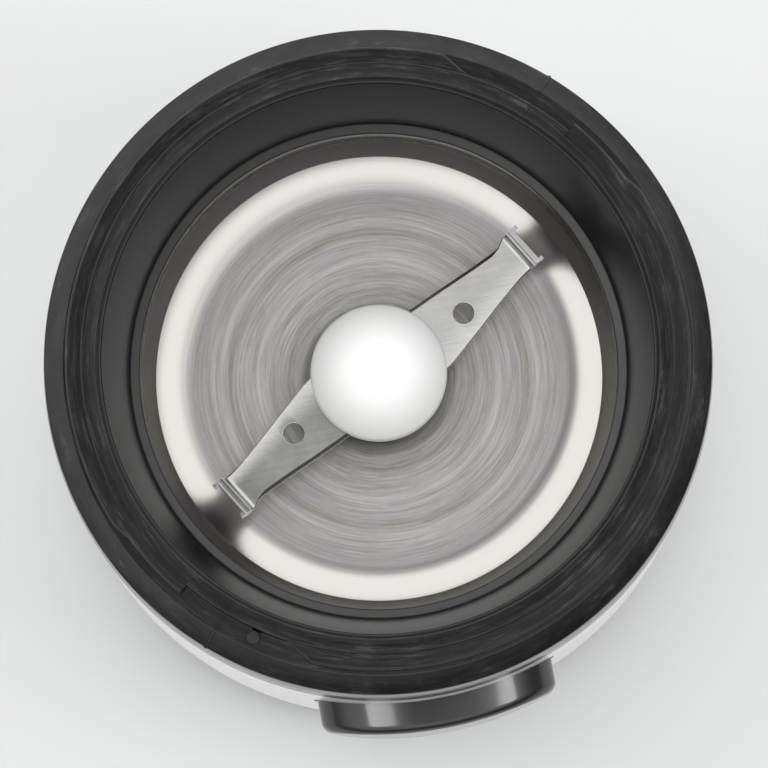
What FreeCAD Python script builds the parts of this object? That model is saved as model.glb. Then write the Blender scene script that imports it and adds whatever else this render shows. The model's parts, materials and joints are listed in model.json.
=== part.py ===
import FreeCAD, Part
import math
import os

# Round blade grinder for spices, lid off. Millimetres, +Z up, the origin on the table under the
# middle of the base, and the push button on the -Y side.

V = FreeCAD.Vector
UP = V(0, 0, 1)
ORIGIN = V(0, 0, 0)

# Fits and gaps
RUNNING_GAP = 0.04          # radial, shaft in a bush and pin in its guide
PRESSED_GAP = 0.02          # radial, pressed or glued on
SCREW_GAP = 0.15            # radial, screw in its hole
CLEAR = 0.3                 # between curved faces that must not touch
SLIDE_GAP = 0.4             # round the push button in its window
SIDES = 12                  # of small rounds that repeat
RING_SIDES = 24
HEX = 6
OVERSHOOT = 1.0             # a cut past the face that it opens
HALF_TURN = 180.0
FULL_TURN = 360.0

# Stack from the table to the top of the collar
FOOT_H = 1.2                # foot below the base cover
COVER_T = 2.6               # base cover
MOTOR_CLEARANCE = 7.2       # cover to the lower bearing boss
LOWER_BOSS_H = 6.0
COMMUTATOR_DROP = 2.5       # lower boss to the commutator
COMMUTATOR_H = 9.0
RISER_H = 1.5               # wider foot of the commutator bars
LOWER_WINDING_H = 6.0
CORE_H = 20.0               # stator and armature stacks
UPPER_WINDING_H = 5.5
FAN_DROP = 1.0              # upper winding to the fan
FAN_H = 6.0
BUSH_DROP = 0.8             # fan to the upper bush
BUSH_PROUD = 0.7            # upper bush below the carrier plate
CARRIER_T = 3.0
SEAL_H = 4.2                # rubber ring under the bowl
SHEET_T = 0.8               # steel of the bowl
BOWL_DEPTH = 30.5           # floor to the top of the rim flange
LIP_GAP = 0.1               # rim flange to the collar's lip
LIP_T = 1.4                 # collar lip over the rim

COVER_Z = FOOT_H
COVER_TOP = COVER_Z + COVER_T
LOWER_BOSS_Z = COVER_TOP + MOTOR_CLEARANCE
LOWER_BOSS_TOP = LOWER_BOSS_Z + LOWER_BOSS_H
COMMUTATOR_Z = LOWER_BOSS_TOP + COMMUTATOR_DROP
RISER_Z = COMMUTATOR_Z + COMMUTATOR_H
LOWER_WINDING_Z = RISER_Z + RISER_H
CORE_Z = LOWER_WINDING_Z + LOWER_WINDING_H
CORE_TOP = CORE_Z + CORE_H
FAN_Z = CORE_TOP + UPPER_WINDING_H + FAN_DROP
FAN_TOP = FAN_Z + FAN_H
UPPER_BUSH_Z = FAN_TOP + BUSH_DROP
CARRIER_Z = UPPER_BUSH_Z + BUSH_PROUD
CARRIER_TOP = CARRIER_Z + CARRIER_T
FLOOR_UNDER = CARRIER_TOP + SEAL_H
FLOOR_Z = FLOOR_UNDER + SHEET_T
RIM_Z = FLOOR_Z + BOWL_DEPTH
LIP_Z = RIM_Z + LIP_GAP
TOP_Z = LIP_Z + LIP_T

# Bowl, inside radii from the floor outward
CORNER_R = 6.5              # between floor and wall
BOWL_WALL_R = 32.4          # lower wall, from the corner to the step
LOWER_WALL_H = 12.0         # floor to the step
STEP_W = 1.3
STEP_H = 0.8
UPPER_FLARE = 3.2
RIM_FLANGE_W = 1.4          # rim flange beyond the inside of the wall
UNDER_WALL_R = 33.2         # underside: foot of the wall, and its height above the floor
UNDER_WALL_H = 4.5
UNDER_FLOOR_R = 29.3        # underside: edge of the flat
FLOOR_HOLE_R = 5.2          # hole round the shaft

UPPER_WALL_R = BOWL_WALL_R + STEP_W
RIM_WALL_R = UPPER_WALL_R + UPPER_FLARE
FLANGE_R = RIM_WALL_R + RIM_FLANGE_W

# Collar, radii outward from the bowl's flange
LIP_COVER = 0.6             # steel that shows inside the lip
COLLAR_FIT = 0.2            # flange to the neck's inside
NECK_WALL_T = 1.1
BAYONET_DROP = 0.8          # top of the collar to the top of the flanges
BAYONET_W = 2.1             # flange beyond the neck
BAYONET_T = 2.0
LANDING_DROP = 4.5          # top of the collar to the landing of the lid
LANDING_W = 4.0             # neck to the shoulder
SHOULDER_W = 1.4
SHOULDER_H = 5.5
SHOULDER_BEND_IN = 0.4      # where the shoulder bends, from the widest and from the landing
SHOULDER_BEND_DROP = 2.2
COLLAR_H = 17.4
SNAP_ANGLES = (30.0, 150.0, 270.0)
SNAP_HALF = 3.0             # half width of a snap tab and of a hook
TAB_REACH = 0.6             # snap tab under the bowl's flange
TAB_H = 1.6
HOOK_IN = 1.0               # hook outside the neck's inside
HOOK_T = 1.4
HOOK_TAIL = 1.5             # hook below the housing's shelf
HOOK_BARB = 0.8
HOOK_PLAY = 0.2

LIP_R = RIM_WALL_R + LIP_COVER
NECK_IN_R = FLANGE_R + COLLAR_FIT
NECK_R = NECK_IN_R + NECK_WALL_T
BAYONET_R = NECK_R + BAYONET_W
SHOULDER_R = NECK_R + LANDING_W
COLLAR_R = SHOULDER_R + SHOULDER_W
SHELF_Z = TOP_Z - COLLAR_H
LANDING_Z = TOP_Z - LANDING_DROP
WIDEST_Z = LANDING_Z - SHOULDER_H
BAYONET_TOP = TOP_Z - BAYONET_DROP

# Bayonet, degrees round the collar; the other half is the same, turned by half a turn
ENTRY_START = 219.6
ENTRY_END = 241.6
RAMP_END = 247.6
POCKET_START = 194.6
POCKET_JOG = 205.6
POCKET_NARROWING = 0.7
SLOT_DEPTH = 0.8            # slot beside each lock pocket, in the neck's top
SLOT_W = 1.0
MARK_ANGLE = 228.6          # raised alignment mark
MARK_WIDTH_DEG = 0.5
MARK_H = 0.15

# Housing
OVERHANG = 0.2              # collar beyond the housing
HOUSING_TOP_R = COLLAR_R - OVERHANG
BARREL_Z = 48.0             # where the foot's taper meets the straight barrel
FOOT_TUCK = 2.1             # barrel radius beyond the radius at the base
LEDGE_Z = 40.0              # the wall is thicker below this ledge inside
WALL_T = 1.8
SHELF_T = 2.2
BOWL_PLAY = 1.2             # bowl inside the housing's shelf

BASE_R = HOUSING_TOP_R - FOOT_TUCK
SHELF_UNDER = SHELF_Z - SHELF_T
SHELF_IN_R = UPPER_WALL_R + SHEET_T + BOWL_PLAY

# Blade and hub
BLADE_T = 1.2
BLADE_LIFT = 7.4            # floor to the underside of the blade
BLADE_ANGLE = 31.6
BLADE_PITCH = 4.0           # each arm leans about its own length
ARM_ROOT_LEAD = 4.4         # half widths of the arm on its ground and plain sides
ARM_ROOT_TRAIL = 5.9
ARM_SHOULDER_U = 8.8
ARM_LEAD = 3.65
ARM_TRAIL = 5.75
ARM_WAIST_U = 23.4
WAIST_LEAD = 1.85
WAIST_TRAIL = 3.45
TAB_U = 25.4                # inner face of the turned-up tab
TAB_LEAD = 2.65
TAB_TRAIL = 3.35
TAB_RISE = 2.6              # above the arm
TAB_BEND_R = 0.9
TAB_GROOVE_W = 0.5
TAB_GROOVE_DEPTH = 0.4
EAR = 0.55                  # small ears outside the tab's two ends
BEVEL_W = 0.9
BEVEL_DEPTH = 0.8
BEVEL_OVERSHOOT = 0.2
BLADE_HOLE_U = 14.1
BLADE_HOLE_V = -1.6
BLADE_HOLE_R = 1.45
HUB_R = 9.3
HUB_SKIRT_H = 1.0
HUB_DOME_H = 5.2
HUB_WALL_T = 1.5
DOME_ANGLES = (48.0, 66.0)   # where the dome's three slopes meet, seen from its centre
BOSS_R = 7.6
BOSS_GAP = 0.7              # over the shaft seal
SLINGER_T = 1.1             # skirt of the boss round the shaft seal
SLINGER_H = 1.5
SEAL_LIP_W = 0.9            # shaft seal over the edge of the floor's hole
SEAL_LIP_H = 1.6
NUT_R = 4.4
NUT_H = 2.4

BLADE_Z = FLOOR_Z + BLADE_LIFT
BLADE_TOP = BLADE_Z + BLADE_T
BOSS_Z = FLOOR_Z + SEAL_LIP_H + BOSS_GAP

# Motor
SHAFT_R = 3.0
SHAFT_TIP_R = 2.5
SHAFT_TAIL = 1.5            # shaft below the lower bush
BUSH_R = 5.0
UPPER_BUSH_L = 6.5
CORE_R = 15.0
AIR_GAP = 0.5
ARMATURE_SLOTS = 12
ARMATURE_SLOT_W = 1.6
ARMATURE_SLOT_DEPTH = 7.0
WINDING_R = 13.2
COMMUTATOR_R = 8.0
RISER_R = 9.2
BAR_SLOT_W = 0.5
BAR_SLOT_DEPTH = 0.7
STATOR_X = 60.0
STATOR_Y = 48.0
STATOR_CORNER = 8.0
COIL_IN = 17.0              # coil's face towards the shaft
COIL_T = 6.0
COIL_WINDOW = 8.6           # half width of the pole inside the coil
COIL_BUNDLE = 4.8
COIL_GAP = 0.25
BOLT_X = 24.5
BOLT_Y = 18.5
BOLT_R = 1.75
BOLT_HEAD_R = 2.9
BOLT_HEAD_H = 1.8
BOLT_ROOF = 0.5             # carrier plate above a bolt's hole
BOLT_SHORT = 0.5            # bolt's end below the top of its hole
COLUMN_R = 3.6
FAN_R = 20.0
FAN_HUB_R = 6.0
FAN_BLADES = 8
FAN_BLADE_T = 1.2
FAN_PLATE_T = 1.2
VANE_ROOT = 1.0             # vane's root inside the hub
CARRIER_R = 34.5
CARRIER_BOSS_R = 7.8
CARRIER_BOSS_H = 2.6        # above the carrier plate
LUG_R = 4.0
LUG_ROOT = 4.0              # lug's root inside the carrier's edge
LUG_ANGLES = (90.0, 210.0, 330.0)
GROMMET_H = 1.5
SCREW_R = 1.4
SCREW_HEAD_R = 2.75
SCREW_HEAD_H = 1.7
SCREW_L = 10.0
SEAL_IN_R = 9.5
SEAL_R = 13.5
LOWER_BOSS_R = 8.0
LOWER_PLATE_X = 58.0
LOWER_PLATE_Y = 45.0
LOWER_PLATE_T = 3.0
LOWER_PLATE_DROP = 2.0      # boss below the plate
WINDOW_X = 12.0             # air windows in the lower plate
WINDOW_Y = 9.0
WINDOW_BAR = 3.0            # plate left between two windows

LUG_POS_R = HOUSING_TOP_R - WALL_T - LUG_R - CLEAR
STATOR_BORE_R = CORE_R + AIR_GAP
LOWER_PLATE_Z = LOWER_BOSS_Z + LOWER_PLATE_DROP
LOWER_PLATE_TOP = LOWER_PLATE_Z + LOWER_PLATE_T

# Brush gear
BRUSH = 5.0                 # square section
BRUSH_L = 9.5
BRUSH_PLAY = 0.15
HOLDER_T = 1.0
HOLDER_SETBACK = 1.6        # holder's mouth outside the commutator
BRUSH_SPRING_L = 6.0
BRUSH_SPRING_R = 2.2
BRUSH_SPRING_WIRE = 0.5
TOWER_HALF_W = 4.5
TOWER_IN = 2.0              # tower behind the holder's mouth
TOWER_L = 11.0
BRUSH_Z = COMMUTATOR_Z + COMMUTATOR_H / 2
HOLDER_HALF = BRUSH / 2 + BRUSH_PLAY + HOLDER_T

# Push button and its switch
BUTTON_W = 32.6
BUTTON_H = 16.0
BUTTON_CORNER = 7.0
BUTTON_LIFT = 4.0           # button's middle above the carrier's underside
BUTTON_PROUD = 4.2          # button's face beyond the housing's top radius
BUTTON_TRAVEL = 2.0
BUTTON_FLANGE = 1.6         # flange beyond the button's outline
BUTTON_FLANGE_T = 1.3
POST_R = 1.8
GUIDE_T = 1.5
GUIDE_GAP = 0.7             # flange to the guide's side walls
GUIDE_BACK_Y = -37.0        # front of the guide's back wall
GUIDE_BACK_HALF = 9.0
GUIDE_SIDE_Y = -30.0
BUTTON_SPRING_R = 3.0
BUTTON_SPRING_WIRE = 0.8
BUTTON_SPRING_LIFT = 3.0    # spring above the button's middle
SWITCH_W = 12.0
SWITCH_L = 12.0
SWITCH_H = 9.5
SWITCH_HEADROOM = 1.0       # under the carrier
PLUNGER_R = 2.0
PLUNGER_OUT = 3.4           # plunger in front of the switch
PLUNGER_IN = 2.2
PLUNGER_PLAY = 0.1          # button's post to the plunger
BUTTON_FACE_R = HOUSING_TOP_R + BUTTON_PROUD
BUTTON_Z = CARRIER_Z + BUTTON_LIFT
SWITCH_TOP = CARRIER_Z - SWITCH_HEADROOM
SWITCH_Z = SWITCH_TOP - SWITCH_H
PLUNGER_Z = SWITCH_TOP - SWITCH_H / 4
SWITCH_FRONT_Y = GUIDE_BACK_Y + GUIDE_T + CLEAR
PLUNGER_TIP_Y = SWITCH_FRONT_Y - PLUNGER_OUT

# Lid interlock
PIN_ANGLE = 235.6
PIN_R = 0.85
PIN_RISE = 1.4              # above the landing
PIN_TRAVEL = 1.2
PIN_COLLAR_R = 1.7
PIN_COLLAR_T = 1.0
PIN_SPRING_H = 5.4
PIN_SPRING_R = 1.7
PIN_SPRING_WIRE = 0.4
PIN_FOOT_T = 1.5
PIN_FOOT_HALF = 2.0
PIN_FOOT_IN_R = 37.0
LID_SWITCH_Z = 42.0
LID_SWITCH_H = 10.0
LID_SWITCH_IN_R = 35.0
LID_SWITCH_HALF = 3.0
LID_PLUNGER_R = 1.5
LID_PLUNGER_POS_R = 38.6
LID_PLUNGER_OUT = 2.6
LID_PLUNGER_IN = 2.0
PIN_POS_R = NECK_R + PIN_R + CLEAR
LID_SWITCH_TOP = LID_SWITCH_Z + LID_SWITCH_H
PIN_FOOT_Z = LID_SWITCH_TOP + LID_PLUNGER_OUT + PLUNGER_PLAY

# Base
BASE_SCREW_POS_R = 36.4
BASE_SCREW_ANGLES = (30.0, 150.0, 270.0)
BASE_BOSS_R = 3.6
BASE_BOSS_TOP = 12.5
BASE_SCREW_L = 7.0
BASE_BOSS_ROOF = 2.0        # above the screw's hole
WEB_HALF = 1.0
PAD_H = 2.0
COVER_INSET = 0.5           # cover inside the housing's edge
VENT_COUNT = 12
VENT_W = 2.4
VENT_IN_R = 9.0
VENT_OUT_R = 22.0
FOOT_R = 5.0
FOOT_POS_R = 33.0
FOOT_PEG_R = 1.6
INLET_Z = 13.0
INLET_R = 5.5
INLET_BORE_R = 3.3
INLET_FLANGE_R = 7.2
INLET_FLANGE_T = 1.6
INLET_SEAT_Y = 42.6         # flat in the wall under the gland's flange
INLET_L = 8.0               # gland behind its flange
INLET_MOUTH_R = 5.0         # flared mouth, so that a cord bends without a kink
INLET_MOUTH_DEPTH = 4.4
BLOCK_X = 20.0
BLOCK_Y = 8.0
BLOCK_H = 9.0
BLOCK_POS_Y = 25.5
CAPACITOR_X = 8.0
CAPACITOR_Y = 20.0
CAPACITOR_H = 7.0
CAPACITOR_POS_X = -33.0
CUTOUT_X = 10.0
CUTOUT_Y = 4.0
CUTOUT_H = 8.0


def outline(start, *steps):
    """A closed wire in the XZ plane. A step is a point, or (middle, end) for an arc."""
    edges = []
    here = V(start[0], 0, start[1])
    for step in steps + (start,):
        if isinstance(step[0], tuple):
            middle, end = step
            there = V(end[0], 0, end[1])
            edges.append(Part.Arc(here, V(middle[0], 0, middle[1]), there).toShape())
        else:
            there = V(step[0], 0, step[1])
            edges.append(Part.LineSegment(here, there).toShape())
        here = there
    return Part.Wire(edges)


def turned(start, *steps):
    """A solid of revolution about Z from its half section."""
    return Part.Face(outline(start, *steps)).revolve(ORIGIN, UP, FULL_TURN)


def on_arc(centre, radius, degrees):
    angle = math.radians(degrees)
    return (centre[0] + radius * math.cos(angle), centre[1] + radius * math.sin(angle))


def polar(radius, degrees):
    """The x and y of a point at a radius and an angle round Z."""
    return on_arc((0.0, 0.0), radius, degrees)


def rod(radius, z0, z1, x=0.0, y=0.0):
    return Part.makeCylinder(radius, z1 - z0, V(x, y, z0), UP)


def prism(sides, radius, z0, z1, x=0.0, y=0.0):
    """An upright bar with flat sides: a hexagon, or a small round that repeats."""
    points = []
    for number in range(sides):
        dx, dy = polar(radius, FULL_TURN * number / sides)
        points.append(V(x + dx, y + dy, z0))
    return Part.Face(Part.makePolygon(points + points[:1])).extrude(V(0, 0, z1 - z0))


def sleeve(outer, wire, length):
    """The room a coil spring takes, as a sleeve along +Z from the origin."""
    return prism(SIDES, outer, 0.0, length).cut(prism(SIDES, outer - wire, 0.0, length))


def ring(outer, inner, z0, z1):
    """A many-sided ring round Z, for a hidden piece."""
    return prism(RING_SIDES, outer, z0, z1).cut(prism(RING_SIDES, inner, z0, z1))


def tube(outer, inner, z0, z1, x=0.0, y=0.0):
    return rod(outer, z0, z1, x, y).cut(rod(inner, z0, z1, x, y))


def rod_y(radius, y0, y1, x, z):
    return Part.makeCylinder(radius, y1 - y0, V(x, y0, z), V(0, 1, 0))


def block(x0, x1, y0, y1, z0, z1):
    return Part.makeBox(x1 - x0, y1 - y0, z1 - z0, V(x0, y0, z0))


def spun(shape, degrees):
    """A copy of the shape turned about Z."""
    copy = shape.copy()
    copy.rotate(ORIGIN, UP, degrees)
    return copy


def ring_of(shape, count):
    """Copies of the shape at even steps round Z, without the first."""
    return [spun(shape, FULL_TURN * number / count) for number in range(1, count)]


def both_halves(shape):
    return shape.fuse(spun(shape, HALF_TURN))


def rounded_wire(half_a, half_b, radius, place):
    """A rounded rectangle; place turns its two coordinates into a point."""
    edges = []
    corners = [(1, 1, 0), (-1, 1, 90), (-1, -1, 180), (1, -1, 270)]
    arcs = []
    for sign_a, sign_b, turn in corners:
        centre = (sign_a * (half_a - radius), sign_b * (half_b - radius))
        points = [place(*on_arc(centre, radius, turn + step)) for step in (0, 45, 90)]
        arcs.append(points)
    for number, points in enumerate(arcs):
        edges.append(Part.Arc(*points).toShape())
        edges.append(Part.LineSegment(points[2], arcs[(number + 1) % 4][0]).toShape())
    return Part.Wire(edges)


def rounded_plate(length_x, length_y, radius, z0, z1):
    wire = rounded_wire(length_x / 2, length_y / 2, radius, lambda a, b: V(a, b, z0))
    return Part.Face(wire).extrude(V(0, 0, z1 - z0))


def rounded_bar_y(width, height, radius, y0, y1, z_middle):
    """A bar along Y with a rounded rectangle for its section."""
    wire = rounded_wire(width / 2, height / 2, radius, lambda a, b: V(a, y0, z_middle + b))
    return Part.Face(wire).extrude(V(0, y1 - y0, 0))


def inner_radius(z):
    """Inside radius of the housing's wall."""
    return (BASE_R if z < LEDGE_Z else HOUSING_TOP_R) - WALL_T


def screw(x, y, z_head, length):
    """A pan-head screw. Its head's bearing face lies at z_head."""
    head = prism(SIDES, SCREW_HEAD_R, z_head - SCREW_HEAD_H, z_head, x, y)
    return head.fuse(prism(SIDES, SCREW_R, z_head, z_head + length, x, y))


def screw_hole(x, y, z0, z1):
    return prism(SIDES, SCREW_R + SCREW_GAP, z0, z1, x, y)


# Bowl and what seals it


def bowl():
    corner = (BOWL_WALL_R - CORNER_R, FLOOR_Z + CORNER_R)
    step_z = FLOOR_Z + LOWER_WALL_H
    return turned(
        (FLOOR_HOLE_R, FLOOR_UNDER),
        (FLOOR_HOLE_R, FLOOR_Z),
        (corner[0], FLOOR_Z),
        on_arc(corner, CORNER_R, -45),
        (BOWL_WALL_R, corner[1]),
        (BOWL_WALL_R, step_z),
        (UPPER_WALL_R, step_z + STEP_H),
        (RIM_WALL_R, RIM_Z),
        (FLANGE_R, RIM_Z),
        (FLANGE_R, RIM_Z - SHEET_T),
        (RIM_WALL_R + SHEET_T, RIM_Z - SHEET_T),
        (UNDER_WALL_R, FLOOR_Z + UNDER_WALL_H),
        (UNDER_FLOOR_R, FLOOR_UNDER),
    )


def bowl_seal():
    return ring(SEAL_R, SEAL_IN_R, CARRIER_TOP, FLOOR_UNDER)


def shaft_seal():
    """The rubber ring in the floor's hole, with a lip over the hole's edge."""
    bore = SHAFT_R + CLEAR
    neck = FLOOR_HOLE_R - PRESSED_GAP
    lip_top = FLOOR_Z + SEAL_LIP_H
    lip = ring(neck + SEAL_LIP_W, bore, FLOOR_Z, lip_top)
    return lip.fuse(ring(neck, bore, FLOOR_UNDER, FLOOR_Z)).removeSplitter()


# Collar


def collar_ring():
    return turned(
        (NECK_IN_R, SHELF_Z),
        (NECK_IN_R, LIP_Z),
        (LIP_R, LIP_Z),
        (LIP_R, TOP_Z),
        (NECK_R, TOP_Z),
        (NECK_R, LANDING_Z),
        (SHOULDER_R, LANDING_Z),
        (COLLAR_R - SHOULDER_BEND_IN, LANDING_Z - SHOULDER_BEND_DROP),
        (COLLAR_R, WIDEST_Z),
        (COLLAR_R, SHELF_Z),
    )


def bayonet_flange():
    """One flange, from its ramp round to the narrow lock pocket, as a flat plate."""
    root = NECK_R - NECK_WALL_T / 2
    full_start = RAMP_END
    full_end = POCKET_START + HALF_TURN
    jog = POCKET_JOG + HALF_TURN
    end = ENTRY_START + HALF_TURN
    narrow = BAYONET_R - POCKET_NARROWING
    z = BAYONET_TOP - BAYONET_T

    def point(radius, degrees):
        x, y = polar(radius, degrees)
        return V(x, y, z)

    def arc(radius, start, stop):
        middle = point(radius, (start + stop) / 2)
        return Part.Arc(point(radius, start), middle, point(radius, stop)).toShape()

    def line(start, stop):
        return Part.LineSegment(point(*start), point(*stop)).toShape()

    edges = [
        line((root, ENTRY_END), (NECK_R, ENTRY_END)),
        line((NECK_R, ENTRY_END), (BAYONET_R, full_start)),
        arc(BAYONET_R, full_start, full_end + (jog - full_end) / 2),
        line((BAYONET_R, full_end + (jog - full_end) / 2), (narrow, jog)),
        arc(narrow, jog, end),
        line((narrow, end), (root, end)),
        arc(root, end, ENTRY_END),
    ]
    return Part.Face(Part.Wire(edges)).extrude(V(0, 0, BAYONET_T))


def lock_slot():
    """The shallow slot in the neck's top beside a lock pocket."""
    section = Part.Face(
        outline(
            (NECK_R - SLOT_W, TOP_Z - SLOT_DEPTH),
            (NECK_R + CLEAR, TOP_Z - SLOT_DEPTH),
            (NECK_R + CLEAR, TOP_Z + SLOT_DEPTH),
            (NECK_R - SLOT_W, TOP_Z + SLOT_DEPTH),
        )
    )
    return spun(section.revolve(ORIGIN, UP, ENTRY_START - POCKET_START), POCKET_START)


def alignment_mark():
    """A hair-thin raised line over the neck and the shoulder."""
    top = TOP_Z + MARK_H
    neck = Part.Face(outline((LIP_R, LIP_Z), (LIP_R, top), (NECK_R, top), (NECK_R, LIP_Z)))
    bend = (COLLAR_R - SHOULDER_BEND_IN, LANDING_Z - SHOULDER_BEND_DROP)
    shoulder = Part.Face(
        outline(
            (NECK_R, WIDEST_Z),
            (NECK_R, LANDING_Z + MARK_H),
            (SHOULDER_R, LANDING_Z + MARK_H),
            (bend[0] + MARK_H, bend[1] + MARK_H),
            (COLLAR_R, WIDEST_Z),
        )
    )
    parts = [face.revolve(ORIGIN, UP, MARK_WIDTH_DEG) for face in (neck, shoulder)]
    return spun(parts[0].fuse(parts[1]), MARK_ANGLE - MARK_WIDTH_DEG / 2)


def snap_tab(angle):
    """A tab that holds the bowl's flange from below."""
    top = RIM_Z - SHEET_T
    tab = block(NECK_IN_R - TAB_REACH, NECK_R, -SNAP_HALF, SNAP_HALF, top - TAB_H, top)
    return spun(tab, angle)


def hook(angle):
    """A hook that goes through the housing's shelf and catches under it."""
    near = NECK_IN_R + HOOK_IN
    far = near + HOOK_T
    low = SHELF_UNDER - HOOK_TAIL
    stem = block(near, far, -SNAP_HALF, SNAP_HALF, low, SHELF_Z + HOOK_TAIL)
    barb = block(far, far + HOOK_BARB, -SNAP_HALF, SNAP_HALF, low, SHELF_UNDER)
    return spun(stem.fuse(barb), angle)


def hook_slot(angle):
    near = NECK_IN_R + HOOK_IN - HOOK_PLAY
    far = near + HOOK_T + 2 * HOOK_PLAY
    half = SNAP_HALF + HOOK_PLAY
    low = SHELF_UNDER - OVERSHOOT
    return spun(block(near, far, -half, half, low, SHELF_Z + OVERSHOOT), angle)


def collar():
    adds = [both_halves(bayonet_flange()), both_halves(alignment_mark())]
    for angle in SNAP_ANGLES:
        adds += [snap_tab(angle), hook(angle)]
    shape = collar_ring().multiFuse(adds)
    x, y = polar(PIN_POS_R, PIN_ANGLE)
    pocket_top = SHELF_Z + PIN_SPRING_H + PIN_COLLAR_T + CLEAR
    cuts = [
        both_halves(lock_slot()),
        rod(PIN_R + RUNNING_GAP, SHELF_Z, TOP_Z, x, y),
        rod(PIN_COLLAR_R + CLEAR, SHELF_Z, pocket_top, x, y),
    ]
    return shape.cut(cuts[0].multiFuse(cuts[1:])).removeSplitter()


# Housing


def housing_shell():
    return turned(
        (BASE_R, COVER_TOP),
        (HOUSING_TOP_R, BARREL_Z),
        (HOUSING_TOP_R, SHELF_Z),
        (SHELF_IN_R, SHELF_Z),
        (SHELF_IN_R, SHELF_UNDER),
        (inner_radius(SHELF_UNDER), SHELF_UNDER),
        (inner_radius(LEDGE_Z), LEDGE_Z),
        (inner_radius(COVER_TOP), LEDGE_Z),
        (inner_radius(COVER_TOP), COVER_TOP),
    )


def carrier_post(angle):
    """A post under the housing's shelf that the motor carrier is screwed to."""
    x, y = polar(LUG_POS_R, angle)
    z0 = CARRIER_TOP + GROMMET_H
    post = prism(SIDES, LUG_R - CLEAR, z0, SHELF_UNDER + SHELF_T / 2, x, y)
    return post.cut(screw_hole(x, y, z0, SHELF_UNDER))


def base_post(angle):
    """A post at the foot of the wall that takes a base screw, with its web."""
    x, y = polar(BASE_SCREW_POS_R, angle)
    z0 = COVER_TOP + PAD_H
    reach = inner_radius(BASE_BOSS_TOP) + WALL_T / 3
    web = block(BASE_SCREW_POS_R, reach, -WEB_HALF, WEB_HALF, z0, BASE_BOSS_TOP)
    post = prism(SIDES, BASE_BOSS_R, z0, BASE_BOSS_TOP, x, y).fuse(spun(web, angle))
    return post.cut(screw_hole(x, y, z0, BASE_BOSS_TOP - BASE_BOSS_ROOF))


def housing():
    posts = [carrier_post(angle) for angle in LUG_ANGLES]
    posts += [base_post(angle) for angle in BASE_SCREW_ANGLES]
    shape = housing_shell().multiFuse(posts)
    window = rounded_bar_y(
        BUTTON_W + 2 * SLIDE_GAP,
        BUTTON_H + 2 * SLIDE_GAP,
        BUTTON_CORNER + SLIDE_GAP,
        -(HOUSING_TOP_R + OVERSHOOT),
        -inner_radius(BUTTON_Z) / 2,
        BUTTON_Z,
    )
    x, y = polar(PIN_POS_R, PIN_ANGLE)
    cuts = [
        rod(PIN_R + CLEAR, SHELF_UNDER - OVERSHOOT, SHELF_Z + OVERSHOOT, x, y),
        rod_y(INLET_R + PRESSED_GAP, inner_radius(INLET_Z) / 2, HOUSING_TOP_R, 0, INLET_Z),
        rod_y(INLET_FLANGE_R + CLEAR, INLET_SEAT_Y, HOUSING_TOP_R, 0, INLET_Z),
    ]
    cuts += [hook_slot(angle) for angle in SNAP_ANGLES]
    return shape.cut(window.multiFuse(cuts))


# Rotor


def arm_flat():
    """One arm as a flat plate along +X, its ground edge on the +Y side."""
    points = [
        (0.0, ARM_ROOT_LEAD),
        (ARM_SHOULDER_U, ARM_LEAD),
        (ARM_WAIST_U, WAIST_LEAD),
        (TAB_U - TAB_BEND_R, TAB_LEAD),
        (TAB_U + BLADE_T, TAB_LEAD),
        (TAB_U + BLADE_T, -TAB_TRAIL),
        (ARM_WAIST_U, -WAIST_TRAIL),
        (ARM_SHOULDER_U, -ARM_TRAIL),
        (0.0, -ARM_ROOT_TRAIL),
    ]
    wire = Part.makePolygon([V(u, v, 0) for u, v in points + points[:1]])
    return Part.Face(wire).extrude(V(0, 0, BLADE_T))


def arm_bevel():
    """What the grinding takes off the ground edge, from the hub to the waist."""
    slope = math.atan2(ARM_LEAD - WAIST_LEAD, ARM_WAIST_U - ARM_SHOULDER_U)
    length = (ARM_WAIST_U - HUB_R) / math.cos(slope)
    deepest = BEVEL_DEPTH * (1 + BEVEL_OVERSHOOT / BEVEL_W)
    section = Part.makePolygon(
        [
            V(0, -BEVEL_W, BLADE_T),
            V(0, BEVEL_OVERSHOOT, BLADE_T),
            V(0, BEVEL_OVERSHOOT, BLADE_T - deepest),
            V(0, -BEVEL_W, BLADE_T),
        ]
    )
    wedge = Part.Face(section).extrude(V(length, 0, 0))
    wedge.rotate(ORIGIN, UP, -math.degrees(slope))
    lead_at_hub = ARM_LEAD + (ARM_SHOULDER_U - HUB_R) * math.tan(slope)
    wedge.translate(V(HUB_R, lead_at_hub, 0))
    return wedge


def tab():
    """The turned-up end of an arm, with its bend, its hollow top edge and its ears."""
    top = BLADE_T + TAB_RISE
    outer = TAB_U + BLADE_T
    bend = (TAB_U - TAB_BEND_R, BLADE_T + TAB_BEND_R)
    groove = TAB_U + (BLADE_T - TAB_GROOVE_W) / 2
    wire = outline(
        (bend[0], 0.0),
        (bend[0], BLADE_T),
        on_arc(bend, TAB_BEND_R, -45),
        (TAB_U, bend[1]),
        (TAB_U, top),
        (groove, top),
        (groove, top - TAB_GROOVE_DEPTH),
        (groove + TAB_GROOVE_W, top - TAB_GROOVE_DEPTH),
        (groove + TAB_GROOVE_W, top),
        (outer, top),
        (outer, 0.0),
    )
    body = Part.Face(wire).extrude(V(0, TAB_LEAD + TAB_TRAIL, 0))
    body.translate(V(0, -TAB_TRAIL, 0))
    ears = [
        block(outer, outer + EAR, side, side + EAR, top - 2 * EAR, top)
        for side in (-TAB_TRAIL, TAB_LEAD - EAR)
    ]
    return body.multiFuse(ears)


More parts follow.
